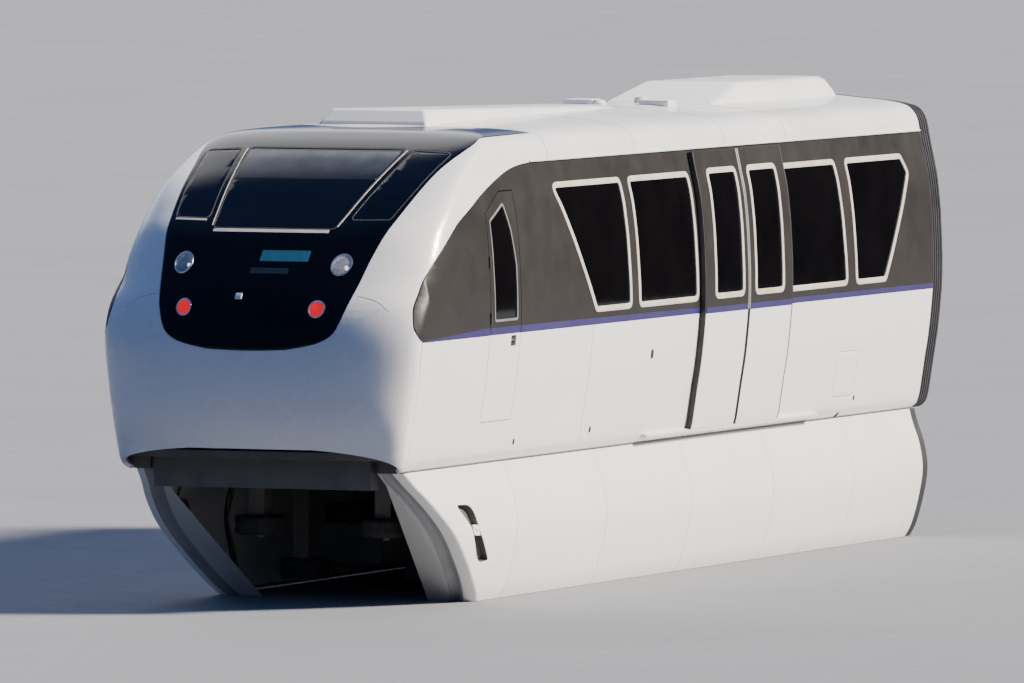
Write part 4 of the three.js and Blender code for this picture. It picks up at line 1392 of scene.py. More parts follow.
@dataclass
class SlidingLeaf:
    """One leaf of the sliding plug doors.

    Attributes:
        side: The side that carries it.
        end: Whether it is the front leaf or the rear one.
        start: The station of its front edge.
        stop: The station of its rear edge.
        window: The stations of its window, and its heights.
        nosing: The width of the rubber edges.
        foot: The height of its lower edge.
        top: The height of its upper edge.
        outer: How far it stands outside the skin.
        inner: How far its back stands outside the skin.
    """

    side: Side
    end: End
    start: float
    stop: float
    window: tuple[float, float, float, float]
    nosing: float = 0.022
    foot: float = 0.285
    top: float = 2.470
    outer: float = 0.046
    inner: float = 0.006

    def piece(self, name: str, slot: str, finish: Finish, node: str = "door_leaf") -> Piece:
        """A piece of this leaf."""
        tail = f"{self.end.value}_{self.side.label}"
        return Piece(f"{name}_{tail}", f"door_{tail}", slot, finish, (f"{node}_{tail}",))

    def add(self, piece: Piece, plate: Plate) -> None:
        """Bends a plate onto the side and adds it as a piece of this leaf."""
        place = HULL.side_place(self.side)
        piece.add(plate.bent(place, (), steps(self.foot, self.top, ROW_PITCH)), weighted=True)

    def build(self) -> None:
        """Builds the leaf's panels, edges, seals and glass."""
        leading, meeting, inward = self.start, self.stop, 1
        if self.end is End.REAR:
            leading, meeting, inward = self.stop, self.start, -1
        outer, inner = self.outer, self.inner
        low, high = BAND_BOTTOM - 0.0005, BAND_BOTTOM + 0.0005
        near, far = sorted((leading + inward * self.nosing, meeting - inward * self.nosing))
        opening = rounded(rectangle(*self.window), WINDOW_RADIUS)
        lower = Plate([rectangle(near, far, self.foot, low)], (), outer, inner, 0.003)
        upper = Plate([rectangle(near, far, high, self.top)], [opening], outer, inner, 0.003)
        self.add(self.piece("leaf_panel", "door_white", DOOR_PAINT), lower)
        self.add(self.piece("leaf_band", "band_black", BAND_GLOSS), upper)
        edges = sorted((leading, leading + inward * (self.nosing - 0.001)))
        edge = Plate([rectangle(*edges, self.foot, self.top)], (), outer, inner, 0.004)
        self.add(self.piece("leaf_edge", "seal_rubber", SEAL_BLACK), edge)
        edges = sorted((meeting, meeting - inward * (self.nosing - 0.001)))
        for name, finish, bottom, top in (
            ("leaf_nosing", SEAL_GREY, high, self.top), ("leaf_foot_nosing", SEAL_BLACK, self.foot, low),
        ):
            lip = Plate([rectangle(*edges, bottom, top)], (), outer + 0.001, inner, 0.005)
            self.add(self.piece(name, "seal_rubber", finish), lip)
        pane = Plate([grown(opening, -0.002)], (), outer - 0.005, outer - 0.013)
        self.add(self.piece("leaf_pane", "side_glass", SIDE_GLASS, "door_glass"), pane)
        ring = Plate(
            [grown(opening, SEAL_OUT)], [grown(opening, -SEAL_IN)], outer + 0.0055, outer - 0.004, 0.003,
        )
        self.add(self.piece("leaf_seal", "seal_rubber", SEAL_CREAM, "door_glass"), ring)
        line = rectangle(near + 0.003, far - 0.003, BAND_BOTTOM - 0.004, STRIPE_TOP)
        stripe = Plate([line], (), outer + 0.0015, outer - 0.002)
        self.add(self.piece("leaf_stripe", "door_white", STRIPE_PAINT), stripe)


@dataclass
class CrewDoor:
    """The hinged door of the cab on one side.

    Attributes:
        side: The side that carries it.
        split: The height where the white paint ends.
        hinge: The station and the heights of the hinges.
        recess: The stations and heights of the handle's recess.
        grip: The stations and heights of the handle.
    """

    side: Side
    split: float = BAND_BOTTOM
    hinge: tuple[float, float, float] = (1.6725, 1.330, 1.760)
    recess: tuple[float, float, float, float] = (2.100, 2.200, 1.100, 1.182)
    grip: tuple[float, float, float, float] = (2.110, 2.192, 1.142, 1.156)

    def piece(self, name: str, slot: str, finish: Finish, node: str = "crew_door") -> Piece:
        """A piece of this door."""
        label = self.side.label
        return Piece(f"{name}_{label}", f"crew_door_body_{label}", slot, finish, (f"{node}_{label}",))

    def add(self, piece: Piece, plate: Plate) -> None:
        """Bends a plate onto the side and adds it as a piece of this door."""
        piece.add(plate.bent(HULL.side_place(self.side), (), steps(0.5, 2.3, ROW_PITCH)), weighted=True)

    def build(self) -> None:
        """Builds the door's panels, window, handle and hinges."""
        (front, foot), (rear, _) = CREW_DOOR[:2]
        window = rounded(CREW_WINDOW, 0.03)
        recess = rounded(rectangle(*self.recess), 0.015)
        lower = Plate([rectangle(front, rear, foot, self.split - 0.0005)], [recess], 0.0, -0.030, 0.003)
        self.add(self.piece("crew_panel", "body_white", BODY_PAINT), lower)
        top = [(front, self.split + 0.0005), (rear, self.split + 0.0005), *CREW_DOOR[2:]]
        upper = Plate([top], [window], 0.001, -0.030, 0.003)
        self.add(self.piece("crew_band", "band_black", BAND_GLOSS), upper)
        pane = Plate([grown(window, -0.002)], (), -0.004, -0.012)
        self.add(self.piece("crew_pane", "side_glass", SIDE_GLASS, "crew_glass"), pane)
        ring = Plate([grown(window, 0.003)], [grown(window, -0.016)], 0.005, -0.004, 0.002)
        self.add(self.piece("crew_seal", "seal_rubber", CREW_SEAL, "crew_glass"), ring)
        back = Plate([recess], (), -0.012, -0.028)
        self.add(self.piece("handle_recess", "seal_rubber", SEAL_BLACK), back)
        grip = Plate([rounded(rectangle(*self.grip), 0.006)], (), 0.006, -0.006, 0.003)
        self.add(self.piece("handle_grip", "rail_steel", RAIL_STEEL), grip)
        line = rectangle(front + 0.003, rear - 0.003, self.split + 0.001, STRIPE_NOSE_TOP - 0.001)
        self.add(self.piece("crew_stripe", "body_white", STRIPE_PAINT), Plate([line], (), 0.0025, -0.002))
        place = HULL.side_place(self.side)
        station, *heights = self.hinge
        ends = [[place(station, z + half, 0.010) for half in (-0.045, 0.045)] for z in heights]
        pins = [rod(low, high, 0.0065) for low, high in ends]
        self.piece("crew_hinges", "frame_black", FRAME_PAINT).add(merged(pins))


# Skirts


@dataclass
class SkirtSide:
    """The skirt of one side, with its seams, its slot and its turned-in front.

    Attributes:
        side: The side that carries it.
        seams: The stations of its vertical seams.
        slot: The outline of the dark slot near the front, as stations and heights.
        tab: The outline of the bracket in the slot.
        tab_hole: The middle of the bracket's hole.
        end_seal: The stations of the seal at the rear end.
        skin_end: The run where the white skin ends.
        groove_end: The run where the groove ends.
    """

    side: Side
    seams: tuple[float, ...] = (2.40, 4.20, 5.95, 7.70, 9.45)
    slot: tuple[Point2, ...] = (
        (1.25, -0.080), (1.54, -0.090), (1.66, -0.300), (1.91, -0.540), (1.69, -0.550), (1.50, -0.270),
    )
    tab: tuple[Point2, ...] = ((1.52, -0.245), (1.64, -0.250), (1.68, -0.335), (1.56, -0.330))
    tab_hole: Point2 = (1.60, -0.290)
    end_seal: tuple[float, float] = (11.001, 11.120)
    skin_end: float = 1.08
    groove_end: float = 1.93

    def piece(self, name: str, slot: str, finish: Finish) -> Piece:
        """A piece of this skirt."""
        label = self.side.label
        return fixed(f"{name}_{label}", slot, finish, f"skirt_{label}")

    def bend(self, plate: Plate) -> Mesh:
        """Bends a plate of runs and heights onto this side's skirt."""
        columns = [k / 8 for k in range(9)] + [1 + k / 24 for k in range(25)] + [2.25, 2.5, 2.75]
        return plate.bent(SKIRT.place(self.side), columns, steps(SKIRT.bottom, SKIRT.top, 0.045))

    def flat(self, outline: Iterable[Point2]) -> Outline:
        """Turns stations into runs."""
        return [(SKIRT.run_of(station, z), z) for station, z in outline]

    def panel(self, front: float | None, rear: float) -> Outline:
        """One panel of the skin.

        Args:
            front: The station of its front edge, or None for the front corner.
            rear: The same behind.

        Returns:
            The closed outline, as runs and heights.
        """
        gap = 0.0025
        low, high = SKIRT.bottom, SKIRT.top
        back = [(SKIRT.run_of(rear - gap, high), high), (SKIRT.run_of(rear - gap, low), low)]
        if front is None:
            return [back[1], (self.skin_end, low), (self.skin_end, high), back[0]]
        return [
            back[1], (SKIRT.run_of(front + gap, low), low), (SKIRT.run_of(front + gap, high), high), back[0],
        ]

    def build(self) -> None:
        """Builds the skin, the slot, the groove and the seams' backing."""
        stations = [*self.seams, SKIRT.rear]
        panels = [self.panel(None, stations[0])]
        panels += [self.panel(a, b) for a, b in zip(stations, stations[1:])]
        slot = rounded(self.flat(self.slot), 0.05)
        skin = Plate(panels, [slot], 0.0, -0.006, 0.002)
        self.piece("skirt_skin", "skirt_white", SKIRT_PAINT).add(self.bend(skin), weighted=True)
        low, high = SKIRT.bottom, SKIRT.top
        # The groove's darker grey is painted shade in the hollow behind the corner.
        groove = Plate([rectangle(self.skin_end + 0.004, self.groove_end, low, high)], (), 0.0, -0.006)
        self.piece("skirt_groove", "skirt_white", GROOVE_PAINTED_SHADE).add(self.bend(groove))
        # The return's grey is painted shade on the skirt's white front.
        inner = Plate([rectangle(self.groove_end + 0.004, 2.995, low, high)], (), 0.0, -0.006)
        self.piece("skirt_return", "skirt_white", RETURN_PAINTED_SHADE).add(self.bend(inner))
        floor = Plate([grown(slot, 0.012)], (), -0.052, -0.058)
        wall = Plate([grown(slot, 0.010)], [slot], -0.003, -0.053)
        pocket = merged(self.bend(plate) for plate in (floor, wall))
        self.piece("skirt_slot", "frame_black", FRAME_PAINT).add(pocket)
        hole = circle(*self.flat([self.tab_hole])[0], 0.016, 16)
        bracket = Plate([rounded(self.flat(self.tab), 0.015)], [hole], -0.004, -0.050, 0.002)
        self.piece("slot_bracket", "skirt_white", SKIRT_PAINT).add(self.bend(bracket))
        corners = ((-0.02, low + 0.02), (-0.02, high - 0.02), (0.02, high - 0.02), (0.02, low + 0.02))
        strips = [self.flat((seam + along, z) for along, z in corners) for seam in self.seams]
        backing = Plate(strips, (), -0.007, -0.012)
        self.piece("skirt_backing", "seal_rubber", JOINT_DARK).add(self.bend(backing))
        end = Plate([self.flat(rectangle(*self.end_seal, low, high))], (), -0.004, -0.030)
        self.piece("skirt_end_seal", "seal_rubber", SEAL_BLACK).add(self.bend(end))
        self.supports()

    def supports(self) -> None:
        """Brackets that carry the skirt from the underframe, and the edge rail along its foot."""
        place = SKIRT.place(self.side)
        parts = []
        for station in (1.35, *self.seams, 10.6):
            points = []
            for z in (0.150, -0.300, -0.780):
                points.append(place(SKIRT.run_of(max(station, SKIRT.front(z) + 0.12), z), z, -0.022))
            parts += [rod(a, b, 0.012, 10) for a, b in zip(points, points[1:])]
        foot = SKIRT.bottom + 0.014
        start, end = place(-0.02, foot, -0.014), place(SKIRT.run_of(SKIRT.rear - 0.01, foot), foot, -0.014)
        parts.append(rod(start, end, 0.008, 10))
        self.piece("skirt_ribs", "frame_black", FRAME_PAINT).add(merged(parts))


# Nose


class LampKind(Enum):
    """The two kinds of lamp in the mask."""

    HEAD = "head"
    TAIL = "tail"


# Outlines seen from ahead, as Y and height: the mask's left edge, and the panes.
MASK_SIDE = [
    (0.330, 1.152), (0.500, 1.182), (0.610, 1.216), (0.690, 1.270), (0.730, 1.340), (0.752, 1.400),
    (0.783, 1.500), (0.820, 1.640), (0.860, 1.830), (0.905, 2.000), (0.950, 2.170), (0.990, 2.330),
    (1.030, 2.485), (1.085, 2.605), (1.100, 2.660), (1.080, 2.700),
]
CENTRE_PANE = [(-0.500, 2.045), (0.500, 2.045), (0.650, 2.615), (-0.650, 2.615)]
SIDE_PANE = [
    (0.590, 2.112), (0.890, 2.115), (0.955, 2.330), (0.995, 2.500), (1.025, 2.590), (0.724, 2.605),
]
# The mask's upper edge seen from above: its station on the centre line, how far it sweeps back at a
# half width, that half width, and the power of its curve.
MASK_TOP = (2.200, 0.800, 1.040, 1.8)
# The half width where the upper edge starts, and the flat middle of the lower edge.
MASK_CORNER = 1.068
MASK_FOOT = 1.152
# Each lamp's distance from the centre line, its height and the radius of its hole.
LAMPS = {LampKind.HEAD: (0.655, 1.780, 0.080), LampKind.TAIL: (0.550, 1.452, 0.065)}


@dataclass(frozen=True)
class NoseSheet:
    """Flat coordinates for plates on the nose, nearly true to size.

    Attributes:
        turn_size: The metres of skin in one turn.
        level_size: The metres of skin in one level.
    """

    turn_size: float = 1.7
    level_size: float = 0.14

    def flat(self, turn: float, level: float) -> Point2:
        """The flat place of a turn and a level."""
        beyond = max(abs(turn) - 1, 0.0)
        return math.copysign(min(abs(turn), 1.0) * self.turn_size + beyond, turn), level * self.level_size

    def place(self, u: float, v: float, out: float) -> Vector:
        """Bends a flat place onto the nose.

        Args:
            u: How far round the nose it is.
            v: How far up it is.
            out: Its distance outside the nose.

        Returns:
            The point.
        """
        beyond = max(abs(u) - self.turn_size, 0.0)
        turn = math.copysign(min(abs(u), self.turn_size) / self.turn_size + beyond, u)
        return HULL.place(turn, min(max(v / self.level_size, 0.0), HULL.TOP), out)

    def from_front(self, outline: Iterable[Point2]) -> Outline:
        """Turns an outline seen from ahead into a flat one."""
        return [self.flat(*HULL.from_front(y, z)) for y, z in outline]

    def bend(self, plate: Plate) -> Mesh:
        """Bends a plate onto the nose, ruled finely enough for its curves.

        Args:
            plate: The flat plate.

        Returns:
            The bent plate.
        """
        columns = steps(-self.turn_size, self.turn_size, 0.05)
        rows = [k * 0.25 * self.level_size for k in range(1, 4 * HULL.TOP)]
        return plate.bent(self.place, columns, rows)


SHEET = NoseSheet()


def mask_outline() -> Outline:
    """The outline of the black mask on the flat nose sheet.

    Returns:
        The closed outline.
    """
    side = smooth_through(MASK_SIDE, 4)
    station, sweep, half_width, power = MASK_TOP
    top: Outline = []
    for k in range(25):
        y = MASK_CORNER * (1 - k / 24)
        top.append(SHEET.flat(*HULL.from_above(station + sweep * (y / half_width) ** power, y)))
    left = [*SHEET.from_front(side), *top]
    foot = [(y, MASK_FOOT - 0.010 * (1 - (y / 0.33) ** 2)) for y in steps(-0.28, 0.28, 0.05)]
    return [*left, *mirrored(left[:-1]), *SHEET.from_front(foot)]


@dataclass
class NoseShell:
    """The white shell round the mask, from the floor to the roof.

    Attributes:
        top_end: The station of its rear edge above the window band.
        foot: The height of the fascia's lower edge, which drops to the sill beside the skirts.
        gap: Half the width of the seams round it.
        edge: The rounding of its edges.
    """

    top_end: float = 3.0965
    foot: float = 0.380
    gap: float = 0.003
    edge: float = 0.003

    def outline(self) -> Outline:
        """The left half of the outline, from the foot to the top.

        Returns:
            The points, in flat places.
        """
        half = [SHEET.flat(turn, self.foot_level(turn)) for turn in steps(0.02, 1.0, 0.04)]
        low = HULL.level_of_height(BAND_BOTTOM - self.gap)
        start = half[-1][1] / SHEET.level_size + 0.1
        half += [SHEET.flat(1.0, level) for level in steps(start, low, 0.25)]
        for station, height in band_front(self.gap):
            if station < 0.362 or height > BAND_BOTTOM + 0.1:
                level = HULL.level_of_height(height)
                half.append(SHEET.flat(HULL.side_turn(station, level), level))
        levels = steps(HULL.band_level + 0.02, HULL.TOP - 0.02, 0.25)
        for level in levels:
            half.append(SHEET.flat(1 + max(self.top_end - HULL.at(level).side, 0.0), level))
        return half

    def foot_level(self, turn: float) -> float:
        """The level of the fascia's lower edge at a turn.

        Args:
            turn: The turn.

        Returns:
            The level.
        """
        height = self.foot
        for _ in range(12):
            station = NOSE_X - HULL.point(turn, HULL.level_of_height(height)).x
            height = min(max(self.foot - 0.75 * (station - 0.110), 0.200), self.foot)
        return HULL.level_of_height(height)

    def cheek_seams(self, half_width: float) -> list[Outline]:
        """The seams that cross the cheeks beside the mask.

        Args:
            half_width: Half the width of the strip.

        Returns:
            The strip on each cheek.
        """
        line = smooth_through([(0.835, 1.548), (0.900, 1.535), (1.000, 1.503), (1.090, 1.433)], 3)
        strip = [(y, z + half_width) for y, z in line] + [(y, z - half_width) for y, z in reversed(line)]
        return [SHEET.from_front(strip), SHEET.from_front(mirrored(strip))]

    def build(self) -> None:
        """Builds the shell, and the dark strips behind the mask's edge and the cheek seams."""
        half = self.outline()
        holes = [grown(mask_outline(), 0.004), *self.cheek_seams(0.0022)]
        plate = Plate([[*half, *mirrored(half)]], holes, 0.0, -0.030, self.edge)
        fixed("nose_skin", "body_white", NOSE_PAINT, "nose_shell").add(SHEET.bend(plate), weighted=True)
        ring = grown(mask_outline(), 0.014)
        backing = Plate([ring], [grown(mask_outline(), -0.012)], -0.012, -0.022)
        fixed("mask_backing", "seal_rubber", SEAL_BLACK, "nose_shell").add(SHEET.bend(backing))
        strips = Plate(self.cheek_seams(0.012), (), -0.014, -0.024)
        fixed("cheek_backing", "seal_rubber", JOINT_DARK, "nose_shell").add(SHEET.bend(strips))


@dataclass
class FrontMask:
    """The black mask with its panes and signs.

    Attributes:
        blind: How far down the printed sun band of the centre pane reaches.
    """

    blind: float = 2.400

    def panes(self) -> list[tuple[str, Outline]]:
        """The three panes and their rounded outlines seen from ahead.

        Returns:
            The name and outline of each pane.
        """
        centre = densified(rounded(CENTRE_PANE, 0.03), 0.06)
        left = densified(rounded(SIDE_PANE, 0.03), 0.06)
        return [("centre", centre), ("left", left), ("right", mirrored(left))]

    def build(self) -> None:
        """Builds the mask and everything set into it."""
        panes = self.panes()
        holes = [SHEET.from_front(grown(outline, 0.010)) for _, outline in panes]
        for y, z, radius in LAMPS.values():
            holes += [SHEET.from_front(circle(side.value * y, z, radius + 0.004, 40)) for side in Side]
        plate = Plate([mask_outline()], holes, 0.001, -0.036, 0.003)
        fixed("mask_skin", "mask_black", MASK_GLOSS, "front_mask").add(SHEET.bend(plate), weighted=True)
        for name, outline in panes:
            self.pane(name, outline)
        self.pillars()
        self.signs()
        self.sun_band()

    def pane(self, name: str, outline: Outline) -> None:
        """Builds one pane with its seal.

        Args:
            name: Which pane it is.
            outline: Its outline seen from ahead.
        """
        flat = SHEET.from_front(outline)
        glass = fixed(f"windshield_pane_{name}", "windshield", FRONT_GLASS, f"windshield_{name}")
        glass.add(SHEET.bend(Plate([flat], (), -0.001, -0.009, 0.001)))
        outer, inner = SHEET.from_front(grown(outline, 0.0095)), SHEET.from_front(grown(outline, 0.0005))
        seal = fixed(f"windshield_seal_{name}", "seal_rubber", SEAL_BLACK, f"windshield_{name}")
        seal.add(SHEET.bend(Plate([outer], [inner], 0.0025, -0.014, 0.0015)))

    def pillars(self) -> None:
        """The pale beads along the foot and the sides of the centre pane, and a pale strip under the right
        pane that is a painted highlight.
        """
        centre, side = self.panes()[0][1], self.panes()[1][1]
        low, side_low = min(z for _, z in centre), min(z for _, z in side)
        across = steps(-0.49, 0.47, 0.05)
        beads = [[*((y, low - 0.012) for y in across), *((y, low - 0.034) for y in steps(0.47, -0.49, 0.05))]]
        upright = ((0.517, 2.055), (0.665, 2.610), (0.673, 2.610), (0.525, 2.055))
        beads += [[(sign * y, z) for y, z in upright] for sign in (1, -1)]
        # A pale strip under the right pane only: a painted highlight along its foot, not a bead.
        right_pane_highlight = ((0.60, 0.012), (0.88, 0.009), (0.88, 0.022), (0.60, 0.024))
        beads.append([(-y, side_low - down) for y, down in right_pane_highlight])
        outlines = [SHEET.from_front(densified(bead, 0.06)) for bead in beads]
        beading = Plate(outlines, (), 0.004, -0.004)
        fixed("pane_beads", "seal_rubber", SEAL_CREAM, "front_mask").add(SHEET.bend(beading))

    def signs(self) -> None:
        """The two blank signs and the small fitting on the mask."""
        for name, finish, corners in (
            ("route_sign", SIGN_FACE, rectangle(-0.010, 0.385, 1.800, 1.880)),
            ("number_sign", SIGN_DIM, rectangle(-0.060, 0.250, 1.708, 1.750)),
        ):
            outline = SHEET.from_front(densified(rounded(corners, 0.006, 2), 0.05))
            sign = Plate([outline], (), 0.003, -0.002)
            fixed(name, "windshield", finish, "front_mask").add(SHEET.bend(sign))
        socket = SHEET.from_front(rounded(rectangle(-0.125, -0.070, 1.515, 1.560), 0.008))
        cover = Plate([socket], (), 0.010, -0.004, 0.003)
        fixed("socket_cover", "body_white", NOSE_PAINT, "front_mask").add(SHEET.bend(cover))

    def sun_band(self) -> None:
        """The printed sun band in the upper part of the centre pane, paler upwards."""
        outline = [(-0.585, self.blind), (0.585, self.blind), (0.632, 2.602), (-0.632, 2.602)]
        flat = SHEET.from_front(densified(rounded(outline, 0.015, 2), 0.05))
        band = Plate([flat], (), 0.0004, -0.004)
        fixed("sun_band", "windshield", SUN_BAND, "windshield_centre").add(SHEET.bend(band))


@dataclass
class Lamp:
    """One round lamp, set into the mask.

    Attributes:
        side: The side of the car.
        kind: Whether it is a white head lamp or a red tail lamp.
        y: Its distance from the centre line.
        z: Its height.
        radius: The radius of its hole.
    """

    side: Side
    kind: LampKind
    y: float
    z: float
    radius: float

    def build(self) -> None:
        """Builds the bezel, the bowl, the bulb and the lens."""
        name = f"{self.kind.value}_lamp_{self.side.label}"
        node = f"lamp_cluster_{self.side.label}"
        y = self.side.value * self.y
        outer, inner = self.radius + 0.002, self.radius - 0.010
        rings = [SHEET.from_front(circle(y, self.z, r, 40)) for r in (outer, inner)]
        bezel = Plate(rings[:1], rings[1:], 0.006, -0.030, 0.003)
        fixed(f"{name}_bezel", "lamp", RAIL_STEEL, node).add(SHEET.bend(bezel))
        lens = Plate([SHEET.from_front(circle(y, self.z, inner - 0.001, 36))], (), 0.001, -0.006, 0.002)
        finish = RED_LENS if self.kind is LampKind.TAIL else LENS
        fixed(f"{name}_lens", "lamp", finish, node).add(SHEET.bend(lens))
        skin = HULL.front_place(y, self.z, 0).x
        rim = ((inner, inner), (-inner, inner), (0, inner))
        deepest = min(HULL.front_place(y + dy, self.z + dz, 0).x for dy, dz in rim)
        front, rear = deepest - 0.012, deepest - 0.110
        bowl = [
            (inner - 0.004, front), (inner - 0.008, front), (0.75 * inner, front - 0.045),
            (0.35 * inner, rear + 0.02), (0.002, rear + 0.012), (0.002, rear), (0.45 * inner, rear),
            (inner - 0.004, front - 0.040),
        ]
        profile = [(radius, x - skin) for radius, x in bowl]
        made = turned(profile, Vector((1, 0, 0)), Vector((skin, y, self.z)), 48)
        fixed(f"{name}_bowl", "lamp", REFLECTOR, node).add(made)
        if self.kind is LampKind.HEAD:
            bulb = bmesh.new()
            bmesh.ops.create_uvsphere(bulb, u_segments=20, v_segments=12, radius=0.22 * inner)
            bmesh.ops.translate(bulb, verts=bulb.verts, vec=(deepest - 0.030, y, self.z - 0.38 * inner))
            fixed(f"{name}_bulb", "lamp", WHITE_BULB, node).add(bulb)


# Roof and rear


@dataclass
class Roof:
    """The roof skin, its gutters, its two fairings and the small fittings.

    Attributes:
        front: The station where it meets the nose.
        rear: The station of its rear edge.
        thickness: The thickness of its skin.
    """

    front: float = 3.1035
    rear: float = 11.026
    thickness: float = 0.030

    # The stations of the joints across the roof.
    JOINTS = (4.85, 6.75, 8.05)
    # The corners of the fairings, as stations, half widths and heights.
    FAIRINGS = {
        End.FRONT: (
            (2.440, 0.460, 2.600), (2.440, 0.460, 2.792), (2.560, 0.390, 2.895), (6.500, 0.250, 2.826),
            (6.620, 0.290, 2.800), (6.620, 0.290, 2.600),
        ),
        End.REAR: (
            (8.250, 0.490, 2.600), (8.250, 0.490, 2.785), (8.950, 0.400, 2.945), (10.880, 0.400, 2.945),
            (11.000, 0.480, 2.790), (11.000, 0.480, 2.600),
        ),
    }

    def arch(self, out: float) -> Outline:
        """The roof's section from the left gutter to the right one.

        Args:
            out: Its distance outside the hull.

        Returns:
            The section's points.
        """
        place = HULL.side_place(Side.LEFT)
        gutter, crown = HULL.band_level + 0.02, HULL.TOP - HULL.STEP
        half: Outline = []
        for k in range(41):
            level = gutter + (crown - gutter) * k / 40
            point = place(self.front, HULL.at(level).height, out)
            half.append((point.y, point.z))
        return [*half, *mirrored(half)]

    def swept(self, outline: Outline, front: float, rear: float) -> Mesh:
        """A section carried along the car."""
        plate = Plate([outline], (), 0.0, front - rear, 0.003)
        return plate.bent(lambda u, v, out: Vector((station_x(front) + out, u, v)))

    def build(self) -> None:
        """Builds the roof, the gutters, the fairings and the fittings."""
        outer = self.arch(0.0)
        inner = self.arch(-self.thickness)
        skin = fixed("roof_skin", "roof_white", ROOF_PAINT, "roof")
        skin.add(self.swept([*outer, *reversed(inner)], self.front, self.rear), weighted=True)
        band = [*self.arch(0.002), *reversed(self.arch(-0.004))]
        bands = [self.swept(band, station, station + 0.016) for station in self.JOINTS]
        fixed("roof_joints", "roof_white", ROOF_JOINT, "roof").add(merged(bands))
        gutters = []
        for side in Side:
            place = HULL.side_place(side)
            gutters.append(rod(place(2.72, 2.500, 0.006), place(self.rear - 0.01, 2.500, 0.006), 0.008, 10))
        fixed("roof_gutters", "roof_white", ROOF_PAINT, "roof").add(merged(gutters))
        for end, rows in self.FAIRINGS.items():
            self.fairing(end, rows)
        self.fittings()

    def fairing(self, end: End, rows: Sequence[tuple[float, float, float]]) -> None:
        """Builds the rounded cover of one fairing.

        Args:
            end: The end of the roof that carries it.
            rows: Its corners on the left side.
        """
        bm = bmesh.new()
        for station, half_width, z in rows:
            for sign in (1, -1):
                bm.verts.new((station_x(station), sign * half_width, z))
        made = bmesh.ops.convex_hull(bm, input=bm.verts)
        bmesh.ops.delete(bm, geom=made["geom_unused"] + made["geom_interior"], context="VERTS")
        bmesh.ops.dissolve_limit(bm, angle_limit=math.radians(1), verts=bm.verts, edges=bm.edges)
        cover = fixed(f"fairing_cover_{end.value}", "roof_white", ROOF_PAINT, f"roof_fairing_{end.value}")
        cover.add(bevelled(bm, 0.035, 4), weighted=True)

    def fittings(self) -> None:
        """The boxes and the round caps on the roof."""
        parts = [
            block((station_x(5.26), -0.44, 2.780), (station_x(5.12), -0.32, 2.838), 0.012),
            block((station_x(7.55), 0.20, 2.780), (station_x(7.35), 0.46, 2.840), 0.015),
            block((station_x(7.55), -0.46, 2.780), (station_x(7.35), -0.20, 2.840), 0.015),
        ]
        profile = [(0.0001, 0.0), (0.06, 0.0), (0.06, 0.03), (0.045, 0.05), (0.0001, 0.055)]
        for station in (7.0, 7.9):
            parts.append(turned(profile, Vector((0, 0, 1)), Vector((station_x(station), 0, 2.795)), 24))
        fixed("roof_caps", "roof_white", ROOF_PAINT, "roof").add(merged(parts))


@dataclass
class Bellows:
    """The folded seal at the rear end.

    Attributes:
        front: The station of its first fold.
        rear: The station of its rear face.
        folds: How many folds it has.
        valley: How far the valleys lie inside the skin.
        crest: How far the crests lie inside the skin.
        inside: How far its inner wall lies inside the skin.
    """

    front: float = 11.0310
    rear: float = 11.2690
    folds: int = 5
    valley: float = 0.034
    crest: float = 0.009
    inside: float = 0.108

    def ring(self, front: float, rear: float, inset: float, inside: float, edge: float) -> Mesh:
        """A ring round the section between two stations.

        Args:
            front: The station of its front face.
            rear: The station of its rear face.
            inset: How far its outer wall lies inside the skin.
            inside: How far its inner wall lies inside the skin.
            edge: The rounding of its rear edges, or 0.

        Returns:
            The ring.
        """
        plate = Plate([HULL.section(inset, 2)], [HULL.section(inside, 2)], 0.0, front - rear, edge)
        return plate.bent(lambda u, v, out: Vector((station_x(rear) - out, u, v)))

    def build(self) -> None:
        """Builds the folds and a binding round the rear face."""
        pitch = (self.rear - self.front) / self.folds
        rings = []
        for k in range(self.folds):
            start = self.front + k * pitch
            rings.append(self.ring(start, start + 0.2 * pitch, self.valley, self.inside, 0.0))
            rings.append(self.ring(start + 0.2 * pitch, start + pitch, self.crest, self.inside, 0.007))
        fixed("gangway_bellows", "seal_rubber", SEAL_BLACK, "gangway_seal").add(merged(rings))
        binding = self.ring(self.rear - 0.002, self.rear + 0.0006, 0.024, 0.040, 0.001)
        fixed("bellows_binding", "seal_rubber", SEAL_GREY, "gangway_seal").add(binding)


# Interior


